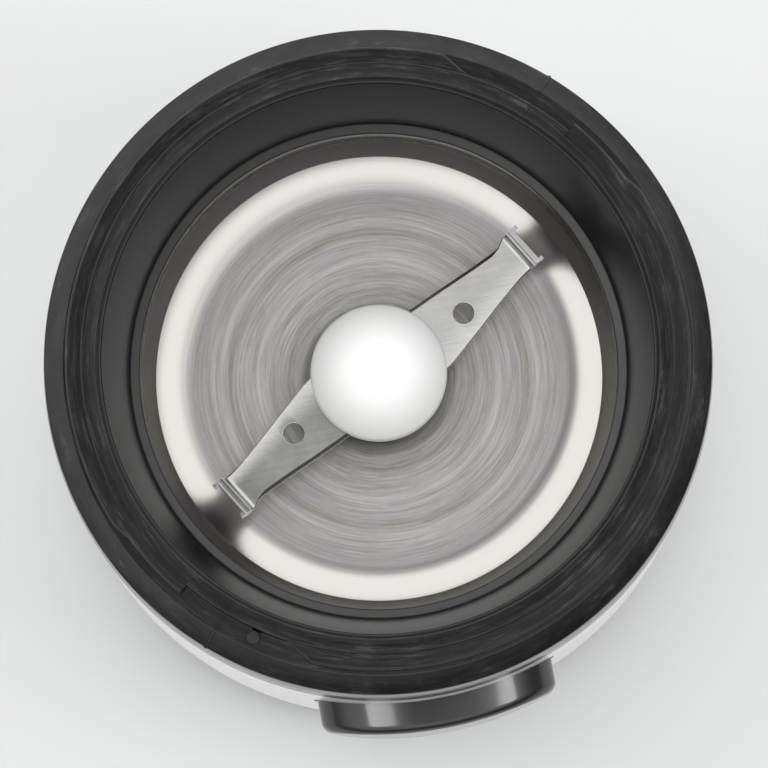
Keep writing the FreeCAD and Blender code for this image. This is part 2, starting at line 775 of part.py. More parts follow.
def blade():
    arm = arm_flat().fuse(tab()).cut(arm_bevel())
    low = -OVERSHOOT
    high = BLADE_T + OVERSHOOT
    arm = arm.cut(rod(BLADE_HOLE_R, low, high, BLADE_HOLE_U, BLADE_HOLE_V))
    arm.rotate(V(0, 0, BLADE_T / 2), V(1, 0, 0), BLADE_PITCH)
    disc_r = HUB_R - HUB_WALL_T
    arm = arm.cut(rod(disc_r, -BLADE_T, 2 * BLADE_T))
    shape = both_halves(arm).fuse(rod(disc_r, 0.0, BLADE_T))
    shape = shape.cut(rod(SHAFT_TIP_R + PRESSED_GAP, low, high))
    shape = spun(shape, BLADE_ANGLE)
    shape.translate(V(0, 0, BLADE_Z))
    return shape


def hub_cap(blade_shape):
    foot_z = BLADE_Z
    skirt = BLADE_TOP + HUB_SKIRT_H
    top = skirt + HUB_DOME_H
    dome_r = (HUB_R**2 + HUB_DOME_H**2) / (2 * HUB_DOME_H)
    rise = [on_arc((0.0, top - dome_r), dome_r, angle) for angle in DOME_ANGLES]
    cap = turned((0.0, foot_z), (HUB_R, foot_z), (HUB_R, skirt), *rise, (0.0, top))
    hollow = rod(NUT_R + CLEAR, foot_z, BLADE_TOP + NUT_H + CLEAR)
    room = rod(HUB_R - HUB_WALL_T, foot_z, BLADE_TOP)
    return cap.cut(hollow.multiFuse([room, blade_shape])).removeSplitter()


def blade_nut():
    nut = prism(HEX, NUT_R, BLADE_TOP, BLADE_TOP + NUT_H)
    return nut.cut(rod(SHAFT_TIP_R + PRESSED_GAP, BLADE_TOP, BLADE_TOP + NUT_H))


def blade_boss():
    low = BOSS_Z - SLINGER_H
    boss = prism(RING_SIDES, BOSS_R, low, BLADE_Z)
    boss = boss.cut(prism(RING_SIDES, BOSS_R - SLINGER_T, low, BOSS_Z))
    return boss.cut(rod(SHAFT_R + PRESSED_GAP, BOSS_Z, BLADE_Z))


def motor_shaft():
    body = rod(SHAFT_R, LOWER_BOSS_Z - SHAFT_TAIL, BLADE_Z)
    return body.fuse(rod(SHAFT_TIP_R, BLADE_Z, BLADE_TOP + NUT_H))


def armature():
    """The slotted stack, with the end turns of the winding against its two ends."""
    core = rod(CORE_R, CORE_Z, CORE_TOP)
    slot = block(
        CORE_R - ARMATURE_SLOT_DEPTH,
        CORE_R + OVERSHOOT,
        -ARMATURE_SLOT_W / 2,
        ARMATURE_SLOT_W / 2,
        CORE_Z,
        CORE_TOP,
    )
    core = core.cut(slot.multiFuse(ring_of(slot, ARMATURE_SLOTS)))
    low = LOWER_WINDING_Z
    high = CORE_TOP + UPPER_WINDING_H
    ends = [
        prism(RING_SIDES, WINDING_R, low, CORE_Z),
        prism(RING_SIDES, WINDING_R, CORE_TOP, high),
    ]
    return core.multiFuse(ends).cut(rod(SHAFT_R + PRESSED_GAP, low, high))


def commutator():
    shape = prism(RING_SIDES, COMMUTATOR_R, COMMUTATOR_Z, RISER_Z)
    shape = shape.fuse(prism(RING_SIDES, RISER_R, RISER_Z, LOWER_WINDING_Z))
    shape = shape.cut(rod(SHAFT_R + PRESSED_GAP, COMMUTATOR_Z, LOWER_WINDING_Z))
    gap = block(
        COMMUTATOR_R - BAR_SLOT_DEPTH,
        RISER_R + OVERSHOOT,
        -BAR_SLOT_W / 2,
        BAR_SLOT_W / 2,
        COMMUTATOR_Z,
        LOWER_WINDING_Z,
    )
    return shape.cut(gap.multiFuse(ring_of(gap, ARMATURE_SLOTS)))


def cooling_fan():
    hub = prism(SIDES, FAN_HUB_R, FAN_Z, FAN_TOP)
    plate = prism(2 * RING_SIDES, FAN_R, FAN_Z, FAN_Z + FAN_PLATE_T)
    tip = FAN_R - FAN_BLADE_T
    vane = block(FAN_HUB_R - VANE_ROOT, tip, -FAN_BLADE_T / 2, FAN_BLADE_T / 2, FAN_Z, FAN_TOP)
    shape = hub.multiFuse([plate, vane] + ring_of(vane, FAN_BLADES))
    return shape.cut(rod(SHAFT_R + PRESSED_GAP, FAN_Z, FAN_TOP))


# Motor frame


def bush(z0, z1):
    return tube(BUSH_R, SHAFT_R + RUNNING_GAP, z0, z1)


def bolt_holes(z0, z1):
    return [prism(SIDES, BOLT_R + SCREW_GAP, z0, z1, x, y) for x, y in bolt_places()]


def bolt_places():
    return [(BOLT_X, BOLT_Y), (-BOLT_X, -BOLT_Y)]


def motor_carrier():
    plate = prism(2 * RING_SIDES, CARRIER_R, CARRIER_Z, CARRIER_TOP)
    adds = [prism(RING_SIDES, CARRIER_BOSS_R, UPPER_BUSH_Z, CARRIER_TOP + CARRIER_BOSS_H)]
    for angle in LUG_ANGLES:
        reach = LUG_POS_R + LUG_R - CLEAR
        lug = block(CARRIER_R - LUG_ROOT, reach, -LUG_R, LUG_R, CARRIER_Z, CARRIER_TOP)
        adds.append(spun(lug, angle))
    for x, y in bolt_places():
        adds.append(prism(SIDES, COLUMN_R, CORE_TOP, CARRIER_Z, x, y))
    shape = plate.multiFuse(adds)
    holes = [rod(BUSH_R + PRESSED_GAP, UPPER_BUSH_Z, CARRIER_TOP + CARRIER_BOSS_H)]
    for angle in LUG_ANGLES:
        holes.append(screw_hole(*polar(LUG_POS_R, angle), CARRIER_Z, CARRIER_TOP))
    holes += bolt_holes(CORE_TOP, CARRIER_TOP - BOLT_ROOF)
    return shape.cut(holes[0].multiFuse(holes[1:])).removeSplitter()


def stator_core():
    shape = rounded_plate(STATOR_X, STATOR_Y, STATOR_CORNER, CORE_Z, CORE_TOP)
    cuts = [rod(STATOR_BORE_R, CORE_Z, CORE_TOP)]
    slot_end = COIL_WINDOW + COIL_BUNDLE + COIL_GAP
    mouth = slot_end - COIL_BUNDLE / 4
    for side in (1, -1):
        for way in (1, -1):
            low, high = sorted((way * (COIL_WINDOW - COIL_GAP), way * slot_end))
            near, far = sorted((side * (COIL_IN - COIL_GAP), side * (COIL_IN + COIL_T + COIL_GAP)))
            cuts.append(block(near, far, low, high, CORE_Z, CORE_TOP))
            low, high = sorted((way * mouth, way * slot_end))
            near, far = sorted((0.0, side * COIL_IN))
            cuts.append(block(near, far, low, high, CORE_Z, CORE_TOP))
    cuts += bolt_holes(CORE_Z, CORE_TOP)
    return shape.cut(cuts[0].multiFuse(cuts[1:]))


def field_coil(side):
    """One coil, wound round the pole on that side of the shaft."""
    near, far = sorted((side * COIL_IN, side * (COIL_IN + COIL_T)))
    low = CORE_Z - COIL_GAP - COIL_BUNDLE
    high = CORE_TOP + COIL_GAP + COIL_BUNDLE
    half = COIL_WINDOW + COIL_BUNDLE
    middle = (low + high) / 2

    def ring(half_y, half_z, radius):
        wire = rounded_wire(half_y, half_z, radius, lambda a, b: V(near, a, middle + b))
        return Part.Face(wire).extrude(V(far - near, 0, 0))

    hole = block(
        near, far, -COIL_WINDOW, COIL_WINDOW, low + COIL_BUNDLE, high - COIL_BUNDLE
    )
    return ring(half, (high - low) / 2, COIL_BUNDLE).cut(hole)


def lower_bracket():
    plate = rounded_plate(
        LOWER_PLATE_X, LOWER_PLATE_Y, STATOR_CORNER, LOWER_PLATE_Z, LOWER_PLATE_TOP
    )
    adds = [prism(RING_SIDES, LOWER_BOSS_R, LOWER_BOSS_Z, LOWER_BOSS_TOP)]
    for x, y in bolt_places():
        adds.append(prism(SIDES, COLUMN_R, LOWER_PLATE_Z, CORE_Z, x, y))
    holder_in = COMMUTATOR_R + HOLDER_SETBACK
    tower_top = BRUSH_Z - HOLDER_HALF
    tower_in = holder_in + TOWER_IN
    for side in (1, -1):
        near, far = sorted((side * tower_in, side * (tower_in + TOWER_L)))
        adds.append(
            block(near, far, -TOWER_HALF_W, TOWER_HALF_W, LOWER_PLATE_Z, tower_top)
        )
    shape = plate.multiFuse(adds)
    cuts = [rod(BUSH_R + PRESSED_GAP, LOWER_BOSS_Z, LOWER_BOSS_TOP)]
    near = LOWER_BOSS_R
    far = near + WINDOW_Y
    window = block(
        WINDOW_BAR / 2, WINDOW_BAR / 2 + WINDOW_X, near, far, LOWER_PLATE_Z, LOWER_PLATE_TOP
    )
    opposite = window.mirror(ORIGIN, V(1, 0, 0))
    cuts += [window, opposite, spun(window, HALF_TURN), spun(opposite, HALF_TURN)]
    cuts += bolt_holes(LOWER_PLATE_Z, CORE_Z)
    return shape.cut(cuts[0].multiFuse(cuts[1:])).removeSplitter()


def motor_bolts():
    bolts = []
    top = CARRIER_TOP - BOLT_ROOF - BOLT_SHORT
    for x, y in bolt_places():
        head = prism(HEX, BOLT_HEAD_R, LOWER_PLATE_Z - BOLT_HEAD_H, LOWER_PLATE_Z, x, y)
        bolts.append(head.fuse(prism(SIDES, BOLT_R, LOWER_PLATE_Z, top, x, y)))
    return Part.makeCompound(bolts)


def carrier_grommets():
    rings = []
    top = CARRIER_TOP + GROMMET_H
    for angle in LUG_ANGLES:
        x, y = polar(LUG_POS_R, angle)
        ring = prism(SIDES, LUG_R - CLEAR, CARRIER_TOP, top, x, y)
        rings.append(ring.cut(screw_hole(x, y, CARRIER_TOP, top)))
    return Part.makeCompound(rings)


def carrier_screws():
    screws = []
    for angle in LUG_ANGLES:
        x, y = polar(LUG_POS_R, angle)
        screws.append(screw(x, y, CARRIER_Z, SCREW_L))
    return Part.makeCompound(screws)


# Brush gear, one set on each side of the commutator


def brush(side):
    face = COMMUTATOR_R + CLEAR
    half = BRUSH / 2
    near = face - OVERSHOOT
    shape = block(near, face + BRUSH_L, -half, half, BRUSH_Z - half, BRUSH_Z + half)
    shape = shape.cut(rod(face, COMMUTATOR_Z, LOWER_WINDING_Z))
    return spun(shape, 0.0 if side > 0 else HALF_TURN)


def brush_spring(side):
    shape = sleeve(BRUSH_SPRING_R, BRUSH_SPRING_WIRE, BRUSH_SPRING_L)
    shape.rotate(ORIGIN, V(0, 1, 0), 90.0)
    shape.translate(V(COMMUTATOR_R + CLEAR + BRUSH_L, 0, BRUSH_Z))
    return spun(shape, 0.0 if side > 0 else HALF_TURN)


def brush_holder(side):
    start = COMMUTATOR_R + HOLDER_SETBACK
    back = COMMUTATOR_R + CLEAR + BRUSH_L + BRUSH_SPRING_L
    out = HOLDER_HALF
    hole = BRUSH / 2 + BRUSH_PLAY
    shape = block(start, back + HOLDER_T, -out, out, BRUSH_Z - out, BRUSH_Z + out)
    shape = shape.cut(block(start, back, -hole, hole, BRUSH_Z - hole, BRUSH_Z + hole))
    return spun(shape, 0.0 if side > 0 else HALF_TURN)


# Push button and its switch


def push_button():
    inside = inner_radius(BUTTON_Z + BUTTON_H / 2) - SLIDE_GAP
    front = -(BUTTON_FACE_R + OVERSHOOT)
    pad = rounded_bar_y(BUTTON_W, BUTTON_H, BUTTON_CORNER, front, GUIDE_SIDE_Y, BUTTON_Z)
    body = pad.common(
        tube(
            BUTTON_FACE_R,
            inside - BUTTON_FLANGE_T,
            BUTTON_Z - BUTTON_H,
            BUTTON_Z + BUTTON_H,
        )
    )
    flange = rounded_bar_y(
        BUTTON_W + 2 * BUTTON_FLANGE,
        BUTTON_H + 2 * BUTTON_FLANGE,
        BUTTON_CORNER + BUTTON_FLANGE,
        -inside,
        GUIDE_SIDE_Y,
        BUTTON_Z,
    )
    flange = flange.common(
        tube(
            inside,
            inside - BUTTON_FLANGE_T,
            BUTTON_Z - BUTTON_H,
            BUTTON_Z + BUTTON_H,
        )
    )
    back = -(inside - BUTTON_FLANGE_T / 2)
    post = rod_y(POST_R, back, PLUNGER_TIP_Y - PLUNGER_PLAY, 0, PLUNGER_Z)
    return body.multiFuse([flange, post])


def button_guide():
    side_in = BUTTON_W / 2 + BUTTON_FLANGE + GUIDE_GAP
    side_out = side_in + GUIDE_T
    reach = inner_radius(BUTTON_Z + BUTTON_H / 2 + BUTTON_FLANGE) - CLEAR
    shelf_top = SWITCH_Z
    back = SWITCH_FRONT_Y + SWITCH_L
    wall_top = BUTTON_Z + BUTTON_H / 2
    adds = [
        block(-side_out, -side_in, -reach, GUIDE_SIDE_Y, shelf_top - GUIDE_T, wall_top),
        block(side_in, side_out, -reach, GUIDE_SIDE_Y, shelf_top - GUIDE_T, wall_top),
        block(
            -GUIDE_BACK_HALF,
            GUIDE_BACK_HALF,
            GUIDE_BACK_Y,
            GUIDE_BACK_Y + GUIDE_T,
            shelf_top - GUIDE_T,
            wall_top,
        ),
        block(-SWITCH_W / 2, SWITCH_W / 2, -reach, back, shelf_top - GUIDE_T, shelf_top),
    ]
    shelf = block(-side_out, side_out, -reach, GUIDE_SIDE_Y, shelf_top - GUIDE_T, shelf_top)
    shape = shelf.multiFuse(adds)
    shape = shape.common(rod(reach, shelf_top - GUIDE_T, wall_top))
    near = GUIDE_BACK_Y - OVERSHOOT
    far = GUIDE_BACK_Y + GUIDE_T + OVERSHOOT
    hole = rod_y(PLUNGER_R + SLIDE_GAP, near, far, 0, PLUNGER_Z)
    return shape.cut(hole).removeSplitter()


def button_spring():
    inside = inner_radius(BUTTON_Z + BUTTON_H / 2) - SLIDE_GAP
    start = -(inside - BUTTON_FLANGE_T) + CLEAR
    z = BUTTON_Z + BUTTON_SPRING_LIFT
    shape = sleeve(BUTTON_SPRING_R, BUTTON_SPRING_WIRE, GUIDE_BACK_Y - start)
    shape.rotate(ORIGIN, V(1, 0, 0), -90.0)
    shape.translate(V(0, start, z))
    return shape


def power_switch():
    half = SWITCH_W / 2
    back = SWITCH_FRONT_Y + SWITCH_L
    shape = block(-half, half, SWITCH_FRONT_Y, back, SWITCH_Z, SWITCH_TOP)
    depth = PLUNGER_IN + BUTTON_TRAVEL + CLEAR
    return shape.cut(
        rod_y(PLUNGER_R + RUNNING_GAP, SWITCH_FRONT_Y, SWITCH_FRONT_Y + depth, 0, PLUNGER_Z)
    )


def switch_plunger():
    return rod_y(PLUNGER_R, PLUNGER_TIP_Y, SWITCH_FRONT_Y + PLUNGER_IN, 0, PLUNGER_Z)


# Lid interlock


def interlock_pin():
    x, y = polar(PIN_POS_R, PIN_ANGLE)
    pin = prism(SIDES, PIN_R, PIN_FOOT_Z, LANDING_Z + PIN_RISE, x, y)
    stop_z = SHELF_Z + PIN_SPRING_H
    stop = prism(SIDES, PIN_COLLAR_R, stop_z, stop_z + PIN_COLLAR_T, x, y)
    foot = block(
        PIN_FOOT_IN_R,
        PIN_POS_R + PIN_R,
        -PIN_FOOT_HALF,
        PIN_FOOT_HALF,
        PIN_FOOT_Z,
        PIN_FOOT_Z + PIN_FOOT_T,
    )
    return pin.multiFuse([stop, spun(foot, PIN_ANGLE)])


def interlock_spring():
    x, y = polar(PIN_POS_R, PIN_ANGLE)
    shape = sleeve(PIN_SPRING_R, PIN_SPRING_WIRE, PIN_SPRING_H)
    shape.translate(V(x, y, SHELF_Z))
    return shape


def lid_switch():
    reach = inner_radius(LID_SWITCH_Z) - CLEAR
    shape = block(
        LID_SWITCH_IN_R,
        reach,
        -LID_SWITCH_HALF,
        LID_SWITCH_HALF,
        LID_SWITCH_Z,
        LID_SWITCH_TOP,
    )
    shape = spun(shape.common(rod(reach, LID_SWITCH_Z, LID_SWITCH_TOP)), PIN_ANGLE)
    x, y = polar(LID_PLUNGER_POS_R, PIN_ANGLE)
    depth = LID_PLUNGER_IN + PIN_TRAVEL + CLEAR
    hole = rod(LID_PLUNGER_R + RUNNING_GAP, LID_SWITCH_TOP - depth, LID_SWITCH_TOP, x, y)
    return shape.cut(hole)


def lid_switch_plunger():
    x, y = polar(LID_PLUNGER_POS_R, PIN_ANGLE)
    return rod(
        LID_PLUNGER_R,
        LID_SWITCH_TOP - LID_PLUNGER_IN,
        LID_SWITCH_TOP + LID_PLUNGER_OUT,
        x,
        y,
    )


# Base


def vent():
    """One radial air slot."""
    half = VENT_W / 2
    return block(VENT_IN_R, VENT_OUT_R, -half, half, COVER_Z, COVER_TOP)


def foot_places():
    return {
        "foot_rear_right": polar(FOOT_POS_R, 45.0),
        "foot_rear_left": polar(FOOT_POS_R, 135.0),
        "foot_front_left": polar(FOOT_POS_R, 225.0),
        "foot_front_right": polar(FOOT_POS_R, 315.0),
    }


def base_cover():
    cover = rod(BASE_R - COVER_INSET, COVER_Z, COVER_TOP)
    places = [polar(BASE_SCREW_POS_R, angle) for angle in BASE_SCREW_ANGLES]
    pads = [prism(SIDES, BASE_BOSS_R, COVER_TOP, COVER_TOP + PAD_H, x, y) for x, y in places]
    cuts = ring_of(vent(), VENT_COUNT)
    for x, y in foot_places().values():
        cuts.append(prism(SIDES, FOOT_PEG_R + PRESSED_GAP, COVER_Z, COVER_TOP, x, y))
    for x, y in places:
        cuts.append(screw_hole(x, y, COVER_Z, COVER_TOP + PAD_H))
        well_top = COVER_Z + SCREW_HEAD_H + CLEAR
        cuts.append(prism(SIDES, SCREW_HEAD_R + SCREW_GAP, COVER_Z, well_top, x, y))
    return cover.multiFuse(pads).cut(vent().multiFuse(cuts))


def base_screws():
    screws = []
    for angle in BASE_SCREW_ANGLES:
        x, y = polar(BASE_SCREW_POS_R, angle)
        screws.append(screw(x, y, COVER_Z + SCREW_HEAD_H + CLEAR, BASE_SCREW_L))
    return Part.makeCompound(screws)


def foot(x, y):
    pad = prism(RING_SIDES, FOOT_R, 0.0, FOOT_H, x, y)
    return pad.fuse(prism(SIDES, FOOT_PEG_R, FOOT_H, COVER_TOP, x, y))


def cord_inlet():
    back = INLET_SEAT_Y - INLET_L
    front = INLET_SEAT_Y + INLET_FLANGE_T
    body = rod_y(INLET_R, back, INLET_SEAT_Y, 0, INLET_Z)
    flange = rod_y(INLET_FLANGE_R, INLET_SEAT_Y, front, 0, INLET_Z)
    throat = front - INLET_MOUTH_DEPTH
    bore = rod_y(INLET_BORE_R, back, throat, 0, INLET_Z)
    mouth = Part.makeCone(
        INLET_BORE_R, INLET_MOUTH_R, INLET_MOUTH_DEPTH, V(0, throat, INLET_Z), V(0, 1, 0)
    )
    return body.fuse(flange).cut(bore.fuse(mouth))


def terminal_block():
    half = BLOCK_X / 2
    y1 = BLOCK_POS_Y + BLOCK_Y
    return block(-half, half, BLOCK_POS_Y, y1, COVER_TOP, COVER_TOP + BLOCK_H)


def suppressor_capacitor():
    half = CAPACITOR_Y / 2
    x1 = CAPACITOR_POS_X + CAPACITOR_X
    return block(CAPACITOR_POS_X, x1, -half, half, COVER_TOP, COVER_TOP + CAPACITOR_H)


def thermal_cutout():
    half = CUTOUT_X / 2
    z0 = (CORE_Z + CORE_TOP - CUTOUT_H) / 2
    y0 = STATOR_Y / 2
    return block(-half, half, y0, y0 + CUTOUT_Y, z0, z0 + CUTOUT_H)


def all_pieces():
    blade_shape = blade()
    pieces = {
        "housing": housing(),
        "collar": collar(),
        "bowl": bowl(),
        "bowl_seal": bowl_seal(),
        "shaft_seal": shaft_seal(),
        "blade": blade_shape,
        "hub_cap": hub_cap(blade_shape),
        "blade_nut": blade_nut(),
        "blade_boss": blade_boss(),
        "motor_shaft": motor_shaft(),
        "upper_bearing": bush(UPPER_BUSH_Z, UPPER_BUSH_Z + UPPER_BUSH_L),
        "lower_bearing": bush(LOWER_BOSS_Z, LOWER_BOSS_TOP),
        "motor_carrier": motor_carrier(),
        "lower_bracket": lower_bracket(),
        "stator_core": stator_core(),
        "field_coil_left": field_coil(-1),
        "field_coil_right": field_coil(1),
        "armature": armature(),
        "commutator": commutator(),
        "cooling_fan": cooling_fan(),
        "brush_left": brush(-1),
        "brush_right": brush(1),
        "brush_holder_left": brush_holder(-1),
        "brush_holder_right": brush_holder(1),
        "brush_spring_left": brush_spring(-1),
        "brush_spring_right": brush_spring(1),
        "motor_bolts": motor_bolts(),
        "carrier_grommets": carrier_grommets(),
        "carrier_screws": carrier_screws(),
        "push_button": push_button(),
        "button_guide": button_guide(),
        "button_spring": button_spring(),
        "power_switch": power_switch(),
        "switch_plunger": switch_plunger(),
        "interlock_pin": interlock_pin(),
        "interlock_spring": interlock_spring(),
        "lid_switch": lid_switch(),
        "lid_switch_plunger": lid_switch_plunger(),
        "suppressor_capacitor": suppressor_capacitor(),
        "terminal_block": terminal_block(),
        "thermal_cutout": thermal_cutout(),
        "cord_inlet": cord_inlet(),
        "base_cover": base_cover(),
        "base_screws": base_screws(),
    }
    for name, (x, y) in foot_places().items():
        pieces[name] = foot(x, y)
    return pieces


os.makedirs("parts", exist_ok=True)
for node, shape in all_pieces().items():
    shape.exportStep("parts/" + node + ".step")
    print(node, len(shape.Solids), round(shape.Volume, 1), shape.isValid())
print("height", round(TOP_Z, 2), "collar radius", round(COLLAR_R, 2))
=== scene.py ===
import json
import math

import bmesh
import bpy
from mathutils import Matrix, Vector


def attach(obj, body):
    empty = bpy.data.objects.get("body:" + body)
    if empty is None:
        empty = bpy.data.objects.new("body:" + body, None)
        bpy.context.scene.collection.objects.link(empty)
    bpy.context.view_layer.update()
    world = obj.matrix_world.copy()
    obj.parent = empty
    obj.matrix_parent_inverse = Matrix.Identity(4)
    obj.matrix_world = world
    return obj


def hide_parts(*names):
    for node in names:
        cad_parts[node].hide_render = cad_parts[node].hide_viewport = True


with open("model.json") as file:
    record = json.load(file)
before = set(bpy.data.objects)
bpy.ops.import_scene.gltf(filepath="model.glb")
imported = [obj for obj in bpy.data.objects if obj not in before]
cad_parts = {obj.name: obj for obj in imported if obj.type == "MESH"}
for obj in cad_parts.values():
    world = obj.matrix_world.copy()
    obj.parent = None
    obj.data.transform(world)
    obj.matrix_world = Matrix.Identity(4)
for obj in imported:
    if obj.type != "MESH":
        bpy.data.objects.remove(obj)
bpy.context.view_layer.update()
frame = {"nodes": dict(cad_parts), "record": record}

# Sizes in metres, angles in degrees
MM = 0.001
TOP_Z = 110.0 * MM
SHELF_Z = 92.6 * MM
LIP_Z = 108.6 * MM
RIM_Z = 108.5 * MM
FLOOR_Z = 78.0 * MM
SHEET_T = 0.8 * MM
BOWL_WALL_R = 32.4 * MM
STEP_Z = 90.0 * MM
STEP_TOP_Z = 90.8 * MM
UPPER_WALL_R = 33.7 * MM
RIM_WALL_R = 36.9 * MM
FLANGE_R = 38.3 * MM
FLOOR_HOLE_R = 5.2 * MM
LIP_R = 37.5 * MM
NECK_IN_R = 38.5 * MM
NECK_R = 39.6 * MM
BAYONET_R = 41.7 * MM
POCKET_NARROWING = 0.7 * MM
BAYONET_TOP = 109.2 * MM
BAYONET_T = 2.0 * MM
LANDING_Z = 105.5 * MM
SLOPE_R = 42.2 * MM
SLOPE_DROP = 1.55 * MM
COLLAR_R = 45.0 * MM
WIDEST_Z = 100.0 * MM
SLOT_W = 1.0 * MM
SLOT_DEPTH = 0.8 * MM
MARK_H = 0.15 * MM
ENTRY_START = 219.6
ENTRY_END = 241.6
RAMP_END = 247.6
POCKET_START = 194.6
POCKET_JOG = 205.6
MARK_ANGLE = 228.6
MARK_HALF_DEG = 0.25
BARREL_R = 44.8 * MM
BASE_R = 42.7 * MM
BARREL_Z = 48.0 * MM
LEDGE_Z = 40.0 * MM
WALL_T = 1.8 * MM
COVER_TOP = 3.8 * MM
SHELF_IN_R = 35.7 * MM
SHELF_UNDER = 90.4 * MM
BUTTON_Z = 74.0 * MM
BUTTON_W = 32.6 * MM
BUTTON_H = 16.0 * MM
BUTTON_CORNER = 7.0 * MM
BUTTON_FACE_R = 49.0 * MM
BUTTON_BACK_R = 41.2 * MM
BUTTON_ROUND = 1.2 * MM
BUTTON_CROWN = 0.42
BUTTON_SET_BACK = 0.05 * MM
SLIDE_GAP = 0.4 * MM
RISE_SLOPE = 36.0
RISE_START_R = 25.5 * MM
RISE_END_R = 31.4 * MM
RISE_STEPS = 26
WALL_FINISH_Z = STEP_Z - 0.6 * MM
LEDGE_FALL = 0.06
HUB_R = 9.3 * MM
HUB_SKIRT_Z = 87.6 * MM
HUB_TOP_Z = 92.8 * MM
BLADE_Z = 85.4 * MM
BLADE_T = 1.2 * MM
BLADE_ANGLE = 31.6
BLADE_PITCH = 4.0
GLAND_Z = 13.0 * MM
GLAND_BORE_R = 5.55 * MM
GLAND_SEAT_R = 7.5 * MM
GLAND_SEAT_Y = 42.6 * MM

# One arm of the blade, laid along X, in millimetres
ARM_ROOT = 6.0
ARM_FLAT_END = 24.5
ARM_FLAT_STEPS = 40
GROUND_END = 22.0
GROUND_FADE = 1.6
CURL_R = 2.1
CURL_STEPS = 12
CURL_PACE = 0.08
TIP_U = 26.0
TIP_X = ARM_FLAT_END + CURL_R
TIP_HEIGHTS = (2.6, 3.1, 3.6, 3.8)
HOLE_X = 14.1
HOLE_Y = -1.6
HOLE_R = 1.45
GROOVE_X = (25.75, 26.25)
GROOVE_Z = (3.4, 4.5)
EAR_X = (26.5, 27.15)
EAR_Z = (2.7, 3.8)
EAR_Y_PAIRS = ((-3.35, -2.8), (2.1, 2.65))
ARM_EDGE_ROUND = 0.07

# Studio; the photo's axes are turned by PHOTO_TURN from the part's
SKY = 1.36
SIDE_TILT = 0.33
FLOOR_HALF = 12.0
TARGET = (0, 0, 0.08)
PHOTO_TURN = -10.4
PHOTO_PIXELS = 768.0
FOCAL_PIXELS = 7442.0
SENSOR_MM = 36.0
EYE_IN_PHOTO = (6.3, -95.4, 1095.5)
AIM_IN_PHOTO = (0.78, -2.73, 100.0)


# Materials

# colours of the painted shade on the bowl's step and flared wall: edge tint and step tone
WALL_EDGE = (0.61, 0.62, 0.63, 1.0)
STEP_SHADE_TONE = (0.12, 0.12, 0.118, 1.0)
FOOT_LOW_Z = 0.0912
FOOT_HIGH_Z = 0.0935
POLISH_TONE = (0.62, 0.605, 0.58, 1.0)
BRUSHED_R = 0.0245
POLISHED_R = 0.0275
# radii of the painted shade of the hub on the bowl floor, darkest inside the first
SHADE_R = 0.0101
SHADE_END_R = 0.0119


def new_material(name):
    """A node material, with its tree and its shader."""
    material = bpy.data.materials.new(name)
    material.use_nodes = True
    tree = material.node_tree
    return material, tree, tree.nodes["Principled BSDF"]


def add(tree, kind, **values):
    """A node; keys set its properties, or its inputs where they name one."""
    node = tree.nodes.new(kind)
    for key, value in values.items():
        label = key.replace("_", " ")
        if label in node.inputs:
            node.inputs[label].default_value = value
        else:
            setattr(node, key, value)
    return node


def math_node(tree, operation, first, second=None):
    node = tree.nodes.new("ShaderNodeMath")
    node.operation = operation
    for number, value in enumerate((first, second)):
        if value is None:
            continue
        if isinstance(value, (int, float)):
            node.inputs[number].default_value = value
        else:
            tree.links.new(value, node.inputs[number])
    return node.outputs[0]


def spot(tree):
    """The surface point in the object's own frame, whole and as X, Y and Z."""
    place = tree.nodes.new("ShaderNodeTexCoord")
    parts = tree.nodes.new("ShaderNodeSeparateXYZ")
    tree.links.new(place.outputs["Object"], parts.inputs[0])
    return place.outputs["Object"], parts.outputs


def radius_of(tree, parts):
    x2 = math_node(tree, "MULTIPLY", parts["X"], parts["X"])
    y2 = math_node(tree, "MULTIPLY", parts["Y"], parts["Y"])
    return math_node(tree, "SQRT", math_node(tree, "ADD", x2, y2))


def long_rings(tree, parts, radius, level, reach):
    """A place whose noise is drawn out along the rings, with no seam where a turn closes."""
    turn_x = math_node(tree, "MULTIPLY", math_node(tree, "DIVIDE", parts["X"], radius), reach)
    turn_y = math_node(tree, "MULTIPLY", math_node(tree, "DIVIDE", parts["Y"], radius), reach)
    return combine(tree, level, turn_x, turn_y)


def noise(tree, vector, scale, detail=3.0, roughness=0.5):
    node = add(tree, "ShaderNodeTexNoise", Scale=scale, Detail=detail, Roughness=roughness)
    tree.links.new(vector, node.inputs["Vector"])
    return node.outputs["Fac"]


def ramp(tree, value, stops):
    """A colour ramp through (position, grey or colour) stops."""
    node = tree.nodes.new("ShaderNodeValToRGB")
    elements = node.color_ramp.elements
    while len(elements) < len(stops):
        elements.new(0.5)
    for element, (position, colour) in zip(elements, stops):
        element.position = position
        grey = isinstance(colour, (int, float))
        element.color = (colour, colour, colour, 1.0) if grey else (*colour, 1.0)
    tree.links.new(value, node.inputs["Fac"])
    return node.outputs["Color"]


def bump(tree, height, strength, distance, shader):
    node = add(tree, "ShaderNodeBump", Strength=strength, Distance=distance)
    tree.links.new(height, node.inputs["Height"])
    tree.links.new(node.outputs["Normal"], shader.inputs["Normal"])


def combine(tree, x, y, z):
    node = tree.nodes.new("ShaderNodeCombineXYZ")
    for socket, value in zip(node.inputs, (x, y, z)):
        if isinstance(value, (int, float)):
            socket.default_value = value
        else:
            tree.links.new(value, socket)
    return node.outputs[0]


